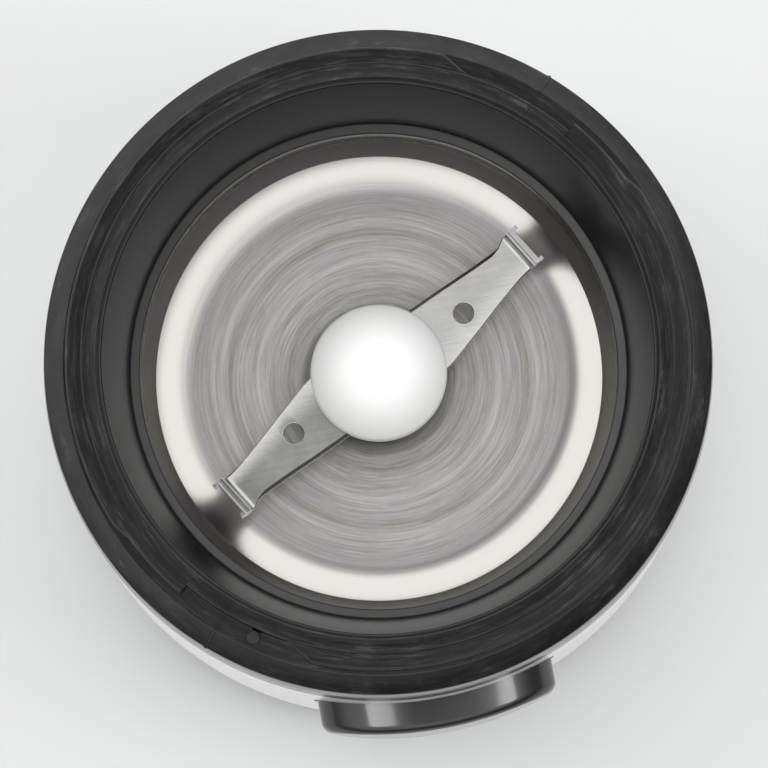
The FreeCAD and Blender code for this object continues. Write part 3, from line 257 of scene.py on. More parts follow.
def turned_steel(name, tone, grain, low, high):
    """Steel with the fine rings of turning or brushing round its own axis."""
    material, tree, shader = new_material(name)
    place, parts = spot(tree)
    radius = radius_of(tree, parts)
    rings = noise(tree, combine(tree, radius, 0.0, parts["Z"]), grain, 6.0, 0.75)
    wide = noise(tree, combine(tree, radius, 0.0, parts["Z"]), grain / 7.0, 2.0, 0.5)
    blotch = noise(tree, place, 60.0, 2.0)
    light = tuple(channel * 1.12 for channel in tone)
    dark = tuple(channel * 0.84 for channel in tone)
    mixed = math_node(tree, "ADD", math_node(tree, "MULTIPLY", rings, 0.6),
                      math_node(tree, "MULTIPLY", wide, 0.4))
    tree.links.new(ramp(tree, mixed, [(0.3, dark), (0.7, light)]), shader.inputs["Base Color"])
    rough = math_node(tree, "ADD", math_node(tree, "MULTIPLY", rings, high - low), low)
    rough = math_node(tree, "ADD", rough, math_node(tree, "MULTIPLY", blotch, 0.04))
    tree.links.new(rough, shader.inputs["Roughness"])
    shader.inputs["Metallic"].default_value = 1.0
    bump(tree, rings, 0.12, 0.00006, shader)
    return material


def bowl_steel():
    """Brushed rings on the floor, a polished rise and a smooth lower wall, with a painted shade
    of the hub darkening the floor round the neck.
    """
    material, tree, shader = new_material("bowl_steel")
    place, parts = spot(tree)
    radius = radius_of(tree, parts)
    fine = noise(tree, long_rings(tree, parts, radius, radius, 0.0006), 4200.0, 5.0, 0.75)
    wide = noise(tree, combine(tree, radius, 0.0, 0.0), 520.0, 3.0, 0.6)
    smear = noise(tree, place, 45.0, 3.0)
    floor = ramp(tree, radius, [(0.0, 1.0), (BRUSHED_R, 1.0), (POLISHED_R, 0.0)])
    tone = math_node(tree, "ADD", math_node(tree, "MULTIPLY", fine, 0.55),
                     math_node(tree, "MULTIPLY", wide, 0.45))
    colour = ramp(tree, tone, [(0.37, (0.35, 0.337, 0.315)), (0.63, (0.74, 0.725, 0.7))])
    plain = add(tree, "ShaderNodeMix", data_type="RGBA")
    tree.links.new(floor, plain.inputs["Factor"])
    plain.inputs[6].default_value = POLISH_TONE
    tree.links.new(colour, plain.inputs[7])
    shaded = add(tree, "ShaderNodeMix", data_type="RGBA", blend_type="MULTIPLY")
    shaded.inputs["Factor"].default_value = 1.0
    tree.links.new(plain.outputs[2], shaded.inputs[6])
    # painted shade: the floor colour is darkened round the neck, standing in for the hub's shade
    # on the floor
    shade = ramp(tree, radius, [(SHADE_R, 0.3), (SHADE_END_R, 1.0)])
    tree.links.new(shade, shaded.inputs[7])
    tree.links.new(shaded.outputs[2], shader.inputs["Base Color"])
    shader.inputs["Metallic"].default_value = 1.0
    base = math_node(tree, "ADD", 0.15, math_node(tree, "MULTIPLY", floor, 0.14))
    base = math_node(tree, "ADD", base, math_node(tree, "MULTIPLY", smear, 0.05))
    tree.links.new(base, shader.inputs["Roughness"])
    height = math_node(tree, "MULTIPLY", tone, math_node(tree, "ADD", floor, 0.12))
    bump(tree, height, 0.3, 0.00008, shader)
    return material


def wall_steel_painted_shade():
    """The step and the flared wall above it: steel with spun rings, its colour painted nearly
    black as a painted shade for the dark reflections the wall shows.
    """
    material, tree, shader = new_material("wall_steel_painted_shade")
    place, parts = spot(tree)
    rings = noise(tree, combine(tree, parts["Z"], 0.0, 0.0), 2600.0, 4.0, 0.7)
    smear = noise(tree, place, 50.0, 3.0)
    foot = ramp(tree, parts["Z"], [(FOOT_LOW_Z, 1.0), (FOOT_HIGH_Z, 0.0)])
    # painted shade: the wall's steel colour is nearly black, standing in for the dark reflections
    # it shows
    colour = ramp(tree, rings, [(0.35, (0.04, 0.04, 0.0395)), (0.65, (0.06, 0.06, 0.059))])
    plain = add(tree, "ShaderNodeMix", data_type="RGBA")
    tree.links.new(foot, plain.inputs["Factor"])
    tree.links.new(colour, plain.inputs[6])
    # painted shade: the step band low on the wall is painted a dark grey in place of bright steel
    plain.inputs[7].default_value = STEP_SHADE_TONE
    tree.links.new(plain.outputs[2], shader.inputs["Base Color"])
    rough = math_node(tree, "ADD", 0.2, math_node(tree, "MULTIPLY", smear, 0.08))
    rough = math_node(tree, "ADD", rough, math_node(tree, "MULTIPLY", foot, 0.25))
    tree.links.new(rough, shader.inputs["Roughness"])
    shader.inputs["Metallic"].default_value = 1.0
    # painted shade: the edge tint dims the wall's grazing reflections
    shader.inputs["Specular Tint"].default_value = WALL_EDGE
    bump(tree, rings, 0.15, 0.00005, shader)
    return material


def blade_steel():
    """Stamped stainless: brushed along the arm, with faint handling marks."""
    material, tree, shader = new_material("blade_steel")
    place, _ = spot(tree)
    turn = add(tree, "ShaderNodeMapping")
    turn.inputs["Rotation"].default_value = (0.0, 0.0, math.radians(-BLADE_ANGLE))
    turn.inputs["Scale"].default_value = (0.06, 1.0, 1.0)
    tree.links.new(place, turn.inputs["Vector"])
    grain = noise(tree, turn.outputs[0], 2600.0, 4.0, 0.7)
    marks = noise(tree, place, 130.0, 5.0, 0.65)
    colour = ramp(tree, math_node(tree, "ADD", math_node(tree, "MULTIPLY", grain, 0.4),
                                  math_node(tree, "MULTIPLY", marks, 0.6)),
                  [(0.32, (0.5, 0.495, 0.487)), (0.68, (0.65, 0.645, 0.637))])
    tree.links.new(colour, shader.inputs["Base Color"])
    rough = math_node(tree, "ADD", 0.17, math_node(tree, "MULTIPLY", marks, 0.16))
    tree.links.new(rough, shader.inputs["Roughness"])
    shader.inputs["Metallic"].default_value = 1.0
    bump(tree, grain, 0.1, 0.00005, shader)
    return material


def moulded(name, colour, roughness, grain=900.0, depth=0.06, spread=0.04, coat=0.0):
    """Moulded plastic or rubber: near-even colour with a fine skin."""
    material, tree, shader = new_material(name)
    place, _ = spot(tree)
    tone = noise(tree, place, 55.0, 2.0)
    dark = tuple(max(channel * (1.0 - spread), 0.0) for channel in colour)
    light = tuple(min(channel * (1.0 + spread), 1.0) for channel in colour)
    tree.links.new(ramp(tree, tone, [(0.35, dark), (0.65, light)]), shader.inputs["Base Color"])
    skin = noise(tree, place, grain, 2.0)
    rough = math_node(tree, "ADD", roughness, math_node(tree, "MULTIPLY", skin, 0.06))
    tree.links.new(rough, shader.inputs["Roughness"])
    shader.inputs["Coat Weight"].default_value = coat
    shader.inputs["Coat Roughness"].default_value = 0.08
    bump(tree, skin, depth, 0.00005, shader)
    return material


def collar_plastic():
    """Charcoal plastic with fine rings and the scuffs that a lid leaves."""
    material, tree, shader = new_material("collar_plastic")
    _, parts = spot(tree)
    radius = radius_of(tree, parts)
    rings = noise(tree, combine(tree, radius, 0.0, parts["Z"]), 2400.0, 3.0, 0.7)
    level = math_node(tree, "ADD", radius, parts["Z"])
    scuffs = noise(tree, long_rings(tree, parts, radius, level, 0.004), 1500.0, 5.0, 0.75)
    worn = ramp(tree, scuffs, [(0.5, 0.0), (0.78, 1.0)])
    colour = ramp(tree, scuffs, [(0.42, (0.004, 0.004, 0.0045)), (0.58, (0.013, 0.013, 0.014)),
                                  (0.74, (0.05, 0.051, 0.052))])
    tree.links.new(colour, shader.inputs["Base Color"])
    rough = math_node(tree, "ADD", 0.13, math_node(tree, "MULTIPLY", rings, 0.1))
    rough = math_node(tree, "ADD", rough, math_node(tree, "MULTIPLY", worn, 0.16))
    tree.links.new(rough, shader.inputs["Roughness"])
    shader.inputs["Specular IOR Level"].default_value = 0.46
    bump(tree, rings, 0.2, 0.00006, shader)
    return material


def winding(name, colour):
    """Enamelled wire laid side by side."""
    material, tree, shader = new_material(name)
    place, _ = spot(tree)
    wire = add(tree, "ShaderNodeTexWave", Scale=420.0, Distortion=1.5, Detail=2.0)
    tree.links.new(place, wire.inputs["Vector"])
    dark = tuple(channel * 0.55 for channel in colour)
    tree.links.new(ramp(tree, wire.outputs["Fac"], [(0.2, dark), (0.8, colour)]),
                   shader.inputs["Base Color"])
    shader.inputs["Metallic"].default_value = 0.7
    shader.inputs["Roughness"].default_value = 0.34
    bump(tree, wire.outputs["Fac"], 0.5, 0.0002, shader)
    return material


def laminations():
    """A stack of thin sheets, seen as fine lines across Z."""
    material, tree, shader = new_material("laminations")
    place, _ = spot(tree)
    sheets = add(tree, "ShaderNodeTexWave", Scale=320.0, Distortion=0.2)
    sheets.bands_direction = "Z"
    tree.links.new(place, sheets.inputs["Vector"])
    tree.links.new(ramp(tree, sheets.outputs["Fac"], [(0.3, 0.16), (0.8, 0.36)]),
                   shader.inputs["Base Color"])
    shader.inputs["Metallic"].default_value = 0.85
    shader.inputs["Roughness"].default_value = 0.45
    bump(tree, sheets.outputs["Fac"], 0.4, 0.0001, shader)
    return material


def dress_nodes(looks):
    """Each CAD node takes the material of its slot in the record."""
    slots = {entry["node"]: entry["material_slot"] for entry in frame["record"]["subparts"]}
    for name, node in frame["nodes"].items():
        node.data.materials.clear()
        slot = "charcoal" if name == "interlock_pin" else slots[name]
        node.data.materials.append(looks[slot])


# Meshes


def rounded(corners, segments=4):
    """A profile's points, each (r, z, radius) corner turned into a short arc."""
    points = []
    count = len(corners)
    for number, (r, z, radius) in enumerate(corners):
        here = Vector((r, z))
        before = Vector(corners[number - 1][:2]) - here
        after = Vector(corners[(number + 1) % count][:2]) - here
        reach = 0.49 * min(before.length, after.length)
        if radius <= 0.0:
            points.append((r, z))
            continue
        if reach < 1e-7:
            points += [(r, z)] * (segments + 1)
            continue
        half = before.angle(after) / 2
        cut = min(radius / math.tan(half), reach) if half > 1e-3 else reach
        start = here + before.normalized() * cut
        end = here + after.normalized() * cut
        for step in range(segments + 1):
            share = step / segments
            low = start.lerp(here, share)
            high = here.lerp(end, share)
            points.append(tuple(low.lerp(high, share)))
    return points


def make_object(name, verts, faces, material, sharp=35.0, body=None, nodes=()):
    """An object of plain vertices and faces, merged and with its normals outwards."""
    mesh = bpy.data.meshes.new(name)
    mesh.from_pydata([tuple(v) for v in verts], [], faces)
    mesh.validate()
    work = bmesh.new()
    work.from_mesh(mesh)
    bmesh.ops.remove_doubles(work, verts=work.verts, dist=1e-7)
    bmesh.ops.recalc_face_normals(work, faces=work.faces)
    work.to_mesh(mesh)
    work.free()
    return finish_mesh(name, mesh, material, sharp, body, nodes)


def finish_mesh(name, mesh, material, sharp, body, nodes):
    """An object of the mesh, riding on its body and standing for its nodes."""
    mesh.polygons.foreach_set("use_smooth", [True] * len(mesh.polygons))
    mesh.set_sharp_from_angle(angle=math.radians(sharp))
    mesh.materials.clear()
    mesh.materials.append(material)
    piece = bpy.data.objects.new(name, mesh)
    bpy.context.scene.collection.objects.link(piece)
    if body:
        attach(piece, body)
    if nodes:
        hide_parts(*nodes)
    return piece


def lathe_data(sections, angles, closed=True):
    """Vertices and faces of sections, one for each angle, joined round Z."""
    verts = []
    faces = []
    count = len(sections[0])
    for section, angle in zip(sections, angles):
        c = math.cos(math.radians(angle))
        s = math.sin(math.radians(angle))
        verts += [(r * c, r * s, z) for r, z in section]
    turns = len(angles)
    for turn in range(turns):
        here = turn * count
        there = ((turn + 1) % turns) * count
        for number in range(count if closed else count - 1):
            following = (number + 1) % count
            faces.append((here + number, there + number, there + following, here + following))
    return verts, faces


def lathe(name, corners, material, body, nodes, steps, segments, sharp=35.0):
    """A ring or shell turned round Z from the corners of its section."""
    profile = rounded(corners, segments)
    angles = [360.0 * step / steps for step in range(steps)]
    verts, faces = lathe_data([profile] * steps, angles)
    return make_object(name, verts, faces, material, sharp, body, nodes)


def apply_modifiers(piece):
    """Gives the piece the mesh that its modifiers make, and takes them away."""
    graph = bpy.context.evaluated_depsgraph_get()
    mesh = bpy.data.meshes.new_from_object(piece.evaluated_get(graph))
    piece.modifiers.clear()
    piece.data = mesh


def cut(piece, cutters):
    """Takes closed cutter meshes out of the piece."""
    for verts, faces in cutters:
        mesh = bpy.data.meshes.new("cutter")
        mesh.from_pydata([tuple(v) for v in verts], [], faces)
        work = bmesh.new()
        work.from_mesh(mesh)
        bmesh.ops.recalc_face_normals(work, faces=work.faces)
        work.to_mesh(mesh)
        work.free()
        tool = bpy.data.objects.new("cutter", mesh)
        bpy.context.scene.collection.objects.link(tool)
        change = piece.modifiers.new("cut", "BOOLEAN")
        change.operation = "DIFFERENCE"
        change.solver = "EXACT"
        change.object = tool
        apply_modifiers(piece)
        bpy.data.objects.remove(tool)


def row_faces(rows, count):
    """Four-sided faces between closed rows of vertices, each row of the same count."""
    faces = []
    for row in range(rows - 1):
        here = row * count
        for number in range(count):
            following = (number + 1) % count
            faces.append((here + number, here + following,
                          here + count + following, here + count + number))
    return faces


def circle(count):
    """Points of a circle of radius 1."""
    turns = [math.radians(360.0 * number / count) for number in range(count)]
    return [(math.cos(turn), math.sin(turn)) for turn in turns]


def prism_data(outline, start, end):
    """A closed bar: outline points shifted from start to end."""
    count = len(outline)
    verts = [Vector(p) + Vector(start) for p in outline]
    verts += [Vector(p) + Vector(end) for p in outline]
    faces = [tuple(range(count)), tuple(range(2 * count - 1, count - 1, -1))]
    for number in range(count):
        following = (number + 1) % count
        faces.append((number, following, count + following, count + number))
    return verts, faces


def bar_data(xs, ys, zs):
    """A closed box between pairs of x, y and z."""
    outline = [(xs[0], ys[0], 0), (xs[1], ys[0], 0), (xs[1], ys[1], 0), (xs[0], ys[1], 0)]
    return prism_data(outline, (0, 0, zs[0]), (0, 0, zs[1]))


def stadium(width, height, corner, inset=0.0, segments=10):
    """Points of a rounded rectangle about the origin, its long sides cut into short steps."""
    half_w = width / 2 - inset
    half_h = height / 2 - inset
    radius = max(corner - inset, 0.05 * MM)
    points = []
    for sign_a, sign_b, turn in ((1, 1, 0), (-1, 1, 90), (-1, -1, 180), (1, -1, 270)):
        for step in range(segments + 1):
            angle = math.radians(turn + 90.0 * step / segments)
            points.append((sign_a * (half_w - radius) + radius * math.cos(angle),
                           sign_b * (half_h - radius) + radius * math.sin(angle)))
        if turn in (0, 180):
            last = points[-1]
            for step in range(1, 24):
                points.append((last[0] * (1 - step / 12), last[1]))
    return points


# Bowl


def build_bowl(steel, wall):
    """The pressing: a floor that rises softly, a wall, a step and a flared wall above it."""
    inside = [(FLOOR_HOLE_R, FLOOR_Z - SHEET_T, 0.0), (FLOOR_HOLE_R, FLOOR_Z, 0.0)]
    r = RISE_START_R
    z = FLOOR_Z
    reach = (RISE_END_R - r) / RISE_STEPS
    for step in range(RISE_STEPS + 1):
        inside.append((r, z, 0.0))
        slope = math.radians(RISE_SLOPE * (step + 0.5) / RISE_STEPS)
        r += reach
        z += reach * math.tan(slope)
    inside += [
        (BOWL_WALL_R, z + (BOWL_WALL_R - r) * math.tan(math.radians(RISE_SLOPE)), 2.0 * MM),
        (BOWL_WALL_R, STEP_Z, 0.5 * MM),
        (UPPER_WALL_R, STEP_TOP_Z, 0.5 * MM),
        (RIM_WALL_R, RIM_Z, 0.35 * MM),
        (FLANGE_R, RIM_Z, 0.1 * MM),
        (FLANGE_R, RIM_Z - SHEET_T, 0.1 * MM),
        (RIM_WALL_R + SHEET_T, RIM_Z - SHEET_T, 0.2 * MM),
        (UPPER_WALL_R + SHEET_T, STEP_TOP_Z - 0.3 * MM, 0.5 * MM),
        (BOWL_WALL_R + SHEET_T, STEP_Z - 0.3 * MM, 0.5 * MM),
        (BOWL_WALL_R + SHEET_T, FLOOR_Z + 5.2 * MM, 2.0 * MM),
        (BOWL_WALL_R - 2.2 * MM, FLOOR_Z + 0.9 * MM, 2.0 * MM),
        (24.0 * MM, FLOOR_Z - SHEET_T, 2.0 * MM),
    ]
    piece = lathe("bowl_pressing", inside, steel, "base_unit", ["bowl"], 480, 5, 50.0)
    # faces above WALL_FINISH_Z take the darkened wall material, a painted shade
    piece.data.materials.append(wall)
    for face in piece.data.polygons:
        if face.center.z > WALL_FINISH_Z:
            face.material_index = 1


# Collar


def flange_radius(angle):
    """How far out the bayonet flange reaches at this angle."""
    turn = (angle - POCKET_START) % 180.0 + POCKET_START
    narrow = BAYONET_R - POCKET_NARROWING
    jog_start = POCKET_START + (POCKET_JOG - POCKET_START) * 0.7
    if turn < jog_start:
        return BAYONET_R
    if turn < POCKET_JOG:
        share = (turn - jog_start) / (POCKET_JOG - jog_start)
        return BAYONET_R - share * POCKET_NARROWING
    if turn < ENTRY_START:
        return narrow
    if turn < ENTRY_END:
        return NECK_R
    if turn < RAMP_END:
        share = (turn - ENTRY_END) / (RAMP_END - ENTRY_END)
        return NECK_R + share * (BAYONET_R - NECK_R)
    return BAYONET_R


def collar_section(angle):
    """The collar's section at this angle, with its flange, slot and fine mark."""
    turn = (angle - POCKET_START) % 180.0 + POCKET_START
    slot = SLOT_DEPTH if turn < ENTRY_START else 0.0
    mark = MARK_H if abs(turn - MARK_ANGLE) < MARK_HALF_DEG else 0.0
    reach = flange_radius(angle)
    low = BAYONET_TOP - BAYONET_T
    top = TOP_Z + mark
    landing = LANDING_Z + mark
    return rounded([
        (NECK_IN_R, SHELF_Z, 0.0),
        (NECK_IN_R, LIP_Z, 0.0),
        (LIP_R, LIP_Z, 0.0),
        (LIP_R, top - LEDGE_FALL * (NECK_R - LIP_R), 0.25 * MM),
        (NECK_R - SLOT_W, top - LEDGE_FALL * SLOT_W, 0.12 * MM),
        (NECK_R - SLOT_W, top - slot - LEDGE_FALL * SLOT_W, 0.1 * MM),
        (NECK_R, top - slot, 0.2 * MM),
        (NECK_R, BAYONET_TOP - LEDGE_FALL * (reach - NECK_R), 0.1 * MM),
        (reach, BAYONET_TOP, 0.35 * MM),
        (reach, low, 0.2 * MM),
        (NECK_R, low, 0.1 * MM),
        (NECK_R, landing, 0.2 * MM),
        (SLOPE_R, landing, 0.5 * MM),
        (COLLAR_R - 0.25 * MM + mark, landing - SLOPE_DROP, 0.5 * MM),
        (COLLAR_R, WIDEST_Z, 1.2 * MM),
        (COLLAR_R, SHELF_Z + 0.1 * MM, 0.35 * MM),
        (COLLAR_R - 0.9 * MM, SHELF_Z, 0.0),
    ], 4)


def build_collar(plastic):
    """The lid ring, with extra sections close to each edge of its flanges."""
    edges = [ENTRY_START, ENTRY_END, RAMP_END, POCKET_START, POCKET_JOG,
             MARK_ANGLE - MARK_HALF_DEG, MARK_ANGLE + MARK_HALF_DEG]
    angles = {round(0.6 * step, 4) for step in range(600)}
    for edge in edges:
        for half in (edge, edge - 180.0):
            angles |= {round((half + shift) % 360.0, 4) for shift in (-0.03, 0.03)}
    angles = sorted(angles)
    verts, faces = lathe_data([collar_section(angle) for angle in angles], angles)
    make_object("collar_moulding", verts, faces, plastic, 40.0, "base_unit", ["collar"])


# Housing


def crown(a):
    """The share of its height that the arched button keeps at a distance from its middle."""
    return 1.0 - BUTTON_CROWN * (2.0 * a / BUTTON_W) ** 2


def build_housing(plastic):
    """The shell, with the button's window and the cord gland's bore and seat."""
    profile = [
        (BASE_R - 0.5 * MM, COVER_TOP, 0.0),
        (BASE_R, COVER_TOP + 0.5 * MM, 0.4 * MM),
        (BARREL_R, BARREL_Z, 20.0 * MM),
        (BARREL_R, SHELF_Z, 0.5 * MM),
        (SHELF_IN_R, SHELF_Z, 0.3 * MM),
        (SHELF_IN_R, SHELF_UNDER, 0.3 * MM),
        (BARREL_R - WALL_T, SHELF_UNDER, 0.5 * MM),
        (BARREL_R - WALL_T, LEDGE_Z, 0.3 * MM),
        (BASE_R - WALL_T, LEDGE_Z, 0.3 * MM),
        (BASE_R - WALL_T, COVER_TOP, 0.0),
    ]
    shell = lathe("housing_shell", profile, plastic, None, (), 480, 6)
    hole = stadium(BUTTON_W + 2 * SLIDE_GAP, BUTTON_H + 2 * SLIDE_GAP, BUTTON_CORNER + SLIDE_GAP)
    arched = [(a, 0.0, BUTTON_Z + b * crown(a)) for a, b in hole]
    window = prism_data(arched, (0, -0.052, 0), (0, -0.03, 0))
    bore = [(GLAND_BORE_R * c, 0.0, GLAND_Z + GLAND_BORE_R * s) for c, s in circle(72)]
    seat = [(GLAND_SEAT_R * c, 0.0, GLAND_Z + GLAND_SEAT_R * s) for c, s in circle(72)]
    gland = prism_data(bore, (0, 0.03, 0), (0, 0.05, 0))
    recess = prism_data(seat, (0, GLAND_SEAT_Y, 0), (0, 0.05, 0))
    cut(shell, [window, gland, recess])
    shell.data.polygons.foreach_set("use_smooth", [True] * len(shell.data.polygons))
    shell.data.set_sharp_from_angle(angle=math.radians(30.0))
    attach(shell, "base_unit")
    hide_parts("housing")


# Button


def build_button(plastic):
    """A rounded bar whose face follows the housing's curve, softened all round its edge."""
    rings = [(0.0, BUTTON_FACE_R - BUTTON_BACK_R)]
    steps = 10
    for step in range(steps + 1):
        angle = math.radians(90.0 * step / steps)
        rings.append((BUTTON_ROUND * (1 - math.cos(angle)), BUTTON_ROUND * (1 - math.sin(angle))))
    rings += [(BUTTON_ROUND + step * 0.6 * MM, 0.0) for step in (1, 2, 3)]
    verts = []
    for inset, sink in rings:
        for a, b in stadium(BUTTON_W, BUTTON_H, BUTTON_CORNER, inset):
            b *= crown(a)
            face_y = math.sqrt((BUTTON_FACE_R - BUTTON_SET_BACK) ** 2 - a * a)
            verts.append((a, -(face_y - sink), BUTTON_Z + b))
    count = len(verts) // len(rings)
    faces = row_faces(len(rings), count)
    last = range((len(rings) - 1) * count, len(rings) * count)
    upper = sorted((n for n in last if verts[n][2] > BUTTON_Z), key=lambda n: verts[n][0])
    lower = sorted((n for n in last if verts[n][2] <= BUTTON_Z), key=lambda n: verts[n][0])
    for n in range(min(len(upper), len(lower)) - 1):
        faces.append((upper[n], upper[n + 1], lower[n + 1], lower[n]))
    faces.append(tuple(range(count - 1, -1, -1)))
    return make_object("button_cap", verts, faces, plastic, 40.0, "button", ["push_button"])


# Hub and blade


def build_hub(plastic, shade):
    """A domed cap, painted dark where it faces down: a painted shade on its underside."""
    rise = HUB_TOP_Z - HUB_SKIRT_Z
    radius = (HUB_R**2 + rise**2) / (2 * rise)
    half = math.asin(HUB_R / radius)
    profile = [(0.0, BLADE_Z + 2.0 * MM), (6.0 * MM, BLADE_Z + 2.0 * MM), (7.8 * MM, BLADE_Z),
               (HUB_R - 0.25 * MM, BLADE_Z), (HUB_R, BLADE_Z + 0.25 * MM)]
    for step in range(0, 21):
        angle = half * (1 - step / 20)
        profile.append((radius * math.sin(angle), HUB_TOP_Z - radius + radius * math.cos(angle)))
    steps = 240
    angles = [360.0 * step / steps for step in range(steps)]
    verts, faces = lathe_data([profile] * steps, angles, closed=False)
    piece = make_object("hub_dome", verts, faces, plastic, 35.0, "rotor", ["hub_cap"])
    # painted shade: faces turned downwards take the dark material, darkening the hub's underside
    # and its reflection in the floor
    piece.data.materials.append(shade)
    for face in piece.data.polygons:
        if face.normal.z < -0.3:
            face.material_index = 1


def arm_width(u, table):
    """Straight-line reading of a table of (u, width)."""
    for (u0, w0), (u1, w1) in zip(table, table[1:]):
        if u <= u1:
            return w0 + (w1 - w0) * max(u - u0, 0.0) / (u1 - u0)
    return table[-1][1]


LEAD_TABLE = [(6.0, 3.9), (8.8, 3.65), (14.0, 3.0), (19.0, 2.3), (22.6, 1.9), (23.6, 1.9),
              (24.6, 2.4), (25.4, 2.65)]
TRAIL_TABLE = [(6.0, 5.9), (8.8, 5.75), (14.0, 4.85), (19.0, 3.95), (22.6, 3.4), (23.8, 3.3),
               (25.4, 3.3)]


def arm_section(lead, trail, ground):
    """The arm's outline across its length, as (across, share of thickness)."""
    edge = 0.12
    bevel = 0.3 * ground + 0.12
    drop = 0.25 * ground + 0.1
    return [
        (-trail + edge, 0.0), (-trail, edge), (-trail, 1.0 - 1.6 * edge),
        (-trail + 1.6 * edge, 1.0), (-trail / 3, 1.0), (lead - bevel, 1.0),
        (lead, 1.0 - drop), (lead, 0.08), (lead - edge, 0.0), (-trail / 3, 0.0),
    ]


def build_blade(steel):
    """Both arms: a strip bent up at its end, ground along one edge."""
    thick = BLADE_T / MM
    stations = []
    for step in range(ARM_FLAT_STEPS + 1):
        u = ARM_ROOT + (ARM_FLAT_END - ARM_ROOT) * step / ARM_FLAT_STEPS
        stations.append((u, (u, 0.0), (0.0, 1.0)))
    for step in range(1, CURL_STEPS + 1):
        angle = math.radians(90.0 * step / CURL_STEPS)
        outer = (ARM_FLAT_END + CURL_R * math.sin(angle), CURL_R - CURL_R * math.cos(angle))
        inwards = (-math.sin(angle), math.cos(angle))
        stations.append((ARM_FLAT_END + CURL_PACE * step, outer, inwards))
    for height in TIP_HEIGHTS:
        stations.append((TIP_U, (TIP_X, height), (-1.0, 0.0)))
    verts = []
    for u, (pu, pz), (nu, nz) in stations:
        ground = 1.0 if u < GROUND_END else max(0.0, 1.0 - (u - GROUND_END) / GROUND_FADE)
        section = arm_section(arm_width(u, LEAD_TABLE), arm_width(u, TRAIL_TABLE), ground)
        for v, share in section:
            verts.append((pu + nu * share * thick, v, pz + nz * share * thick))
    count = len(verts) // len(stations)
    faces = [tuple(range(count)), tuple(range(len(verts) - 1, len(verts) - count - 1, -1))]
    faces += row_faces(len(stations), count)
    hole = prism_data([(HOLE_X + HOLE_R * c, HOLE_Y + HOLE_R * s, 0.0) for c, s in circle(60)],
                      (0, 0, -2.0), (0, 0, 3.0))
    arm = make_object("arm", verts, faces, steel)
    cut(arm, [hole, bar_data(GROOVE_X, (-5.0, 5.0), GROOVE_Z)])
    for across in EAR_Y_PAIRS:
        piece = make_object("ear", *bar_data(EAR_X, across, EAR_Z), steel)
        work = bmesh.new()
        work.from_mesh(arm.data)
        work.from_mesh(piece.data)
        work.to_mesh(arm.data)
        work.free()
        bpy.data.objects.remove(piece)
    edge = arm.modifiers.new("edge", "BEVEL")
    edge.width = ARM_EDGE_ROUND
    edge.segments = 2
    edge.limit_method = "ANGLE"
    edge.angle_limit = math.radians(50.0)
    apply_modifiers(arm)
    middle = Vector((0, 0, thick / 2))
    pitch = (Matrix.Translation(middle) @ Matrix.Rotation(math.radians(BLADE_PITCH), 4, "X")
             @ Matrix.Translation(-middle))
    both = bmesh.new()
    for turn in (0.0, 180.0):
        copy = arm.data.copy()
        place = (Matrix.Translation((0, 0, BLADE_Z))
                 @ Matrix.Rotation(math.radians(BLADE_ANGLE + turn), 4, "Z")
                 @ Matrix.Scale(MM, 4) @ pitch)
        copy.transform(place)
        both.from_mesh(copy)
    mesh = bpy.data.meshes.new("blade_arms")
    both.to_mesh(mesh)
    both.free()
    bpy.data.objects.remove(arm)
    finish_mesh("blade_arms", mesh, steel, 20.0, "rotor", ["blade"])


# Studio


def build_floor():
    """The pale ground, which is no part of the object."""
    material, tree, shader = new_material("studio_floor")
    place, _ = spot(tree)
    tone = noise(tree, place, 9.0, 2.0)
    tree.links.new(ramp(tree, tone, [(0.3, (0.61, 0.614, 0.618)), (0.7, (0.63, 0.634, 0.638))]),
                   shader.inputs["Base Color"])
    shader.inputs["Roughness"].default_value = 0.8
    far = FLOOR_HALF
    verts = [(-far, -far, 0.0), (far, -far, 0.0), (far, far, 0.0), (-far, far, 0.0)]
    mesh = bpy.data.meshes.new("studio_floor")
    mesh.from_pydata(verts, [], [(0, 1, 2, 3)])
    mesh.materials.append(material)
    floor = bpy.data.objects.new("studio_floor", mesh)
    bpy.context.scene.collection.objects.link(floor)


def build_world():
    """A pale studio: bright walls, brighter on one side, and a dimmer ceiling overhead."""
    world = bpy.data.worlds.new("studio")
    bpy.context.scene.world = world
    world.use_nodes = True
    tree = world.node_tree
    back = tree.nodes["Background"]
    place = tree.nodes.new("ShaderNodeTexCoord")
    parts = tree.nodes.new("ShaderNodeSeparateXYZ")
    tree.links.new(place.outputs["Generated"], parts.inputs[0])

    def along(direction):
        node = tree.nodes.new("ShaderNodeVectorMath")
        node.operation = "DOT_PRODUCT"
        tree.links.new(place.outputs["Generated"], node.inputs[0])
        node.inputs[1].default_value = direction
        return node.outputs["Value"]

    bright_side = photo_point(-0.5, 0.87, 0.0).normalized()
    tilted = math_node(tree, "ADD", parts.outputs["Z"],
                       math_node(tree, "MULTIPLY", along(bright_side), SIDE_TILT))
    low = ramp(tree, tilted, [(0.05, 0.1), (0.22, 0.2), (0.41, 0.7), (0.56, 1.0)])
    over = along(photo_point(0.67, -0.74, 0.0).normalized())
    shifted = math_node(tree, "ADD", over, 0.5)
    cap = ramp(tree, shifted, [(0.28, 0.08), (0.43, 0.33), (0.57, 0.72)])
    high = ramp(tree, parts.outputs["Z"], [(0.9, 1.0), (0.972, 0.0)])
    ceiling = math_node(tree, "ADD", high, math_node(
        tree, "MULTIPLY", math_node(tree, "SUBTRACT", 1.0, high), cap))
    value = math_node(tree, "MULTIPLY", low, ceiling)
    tree.links.new(value, back.inputs["Color"])
    back.inputs["Strength"].default_value = SKY


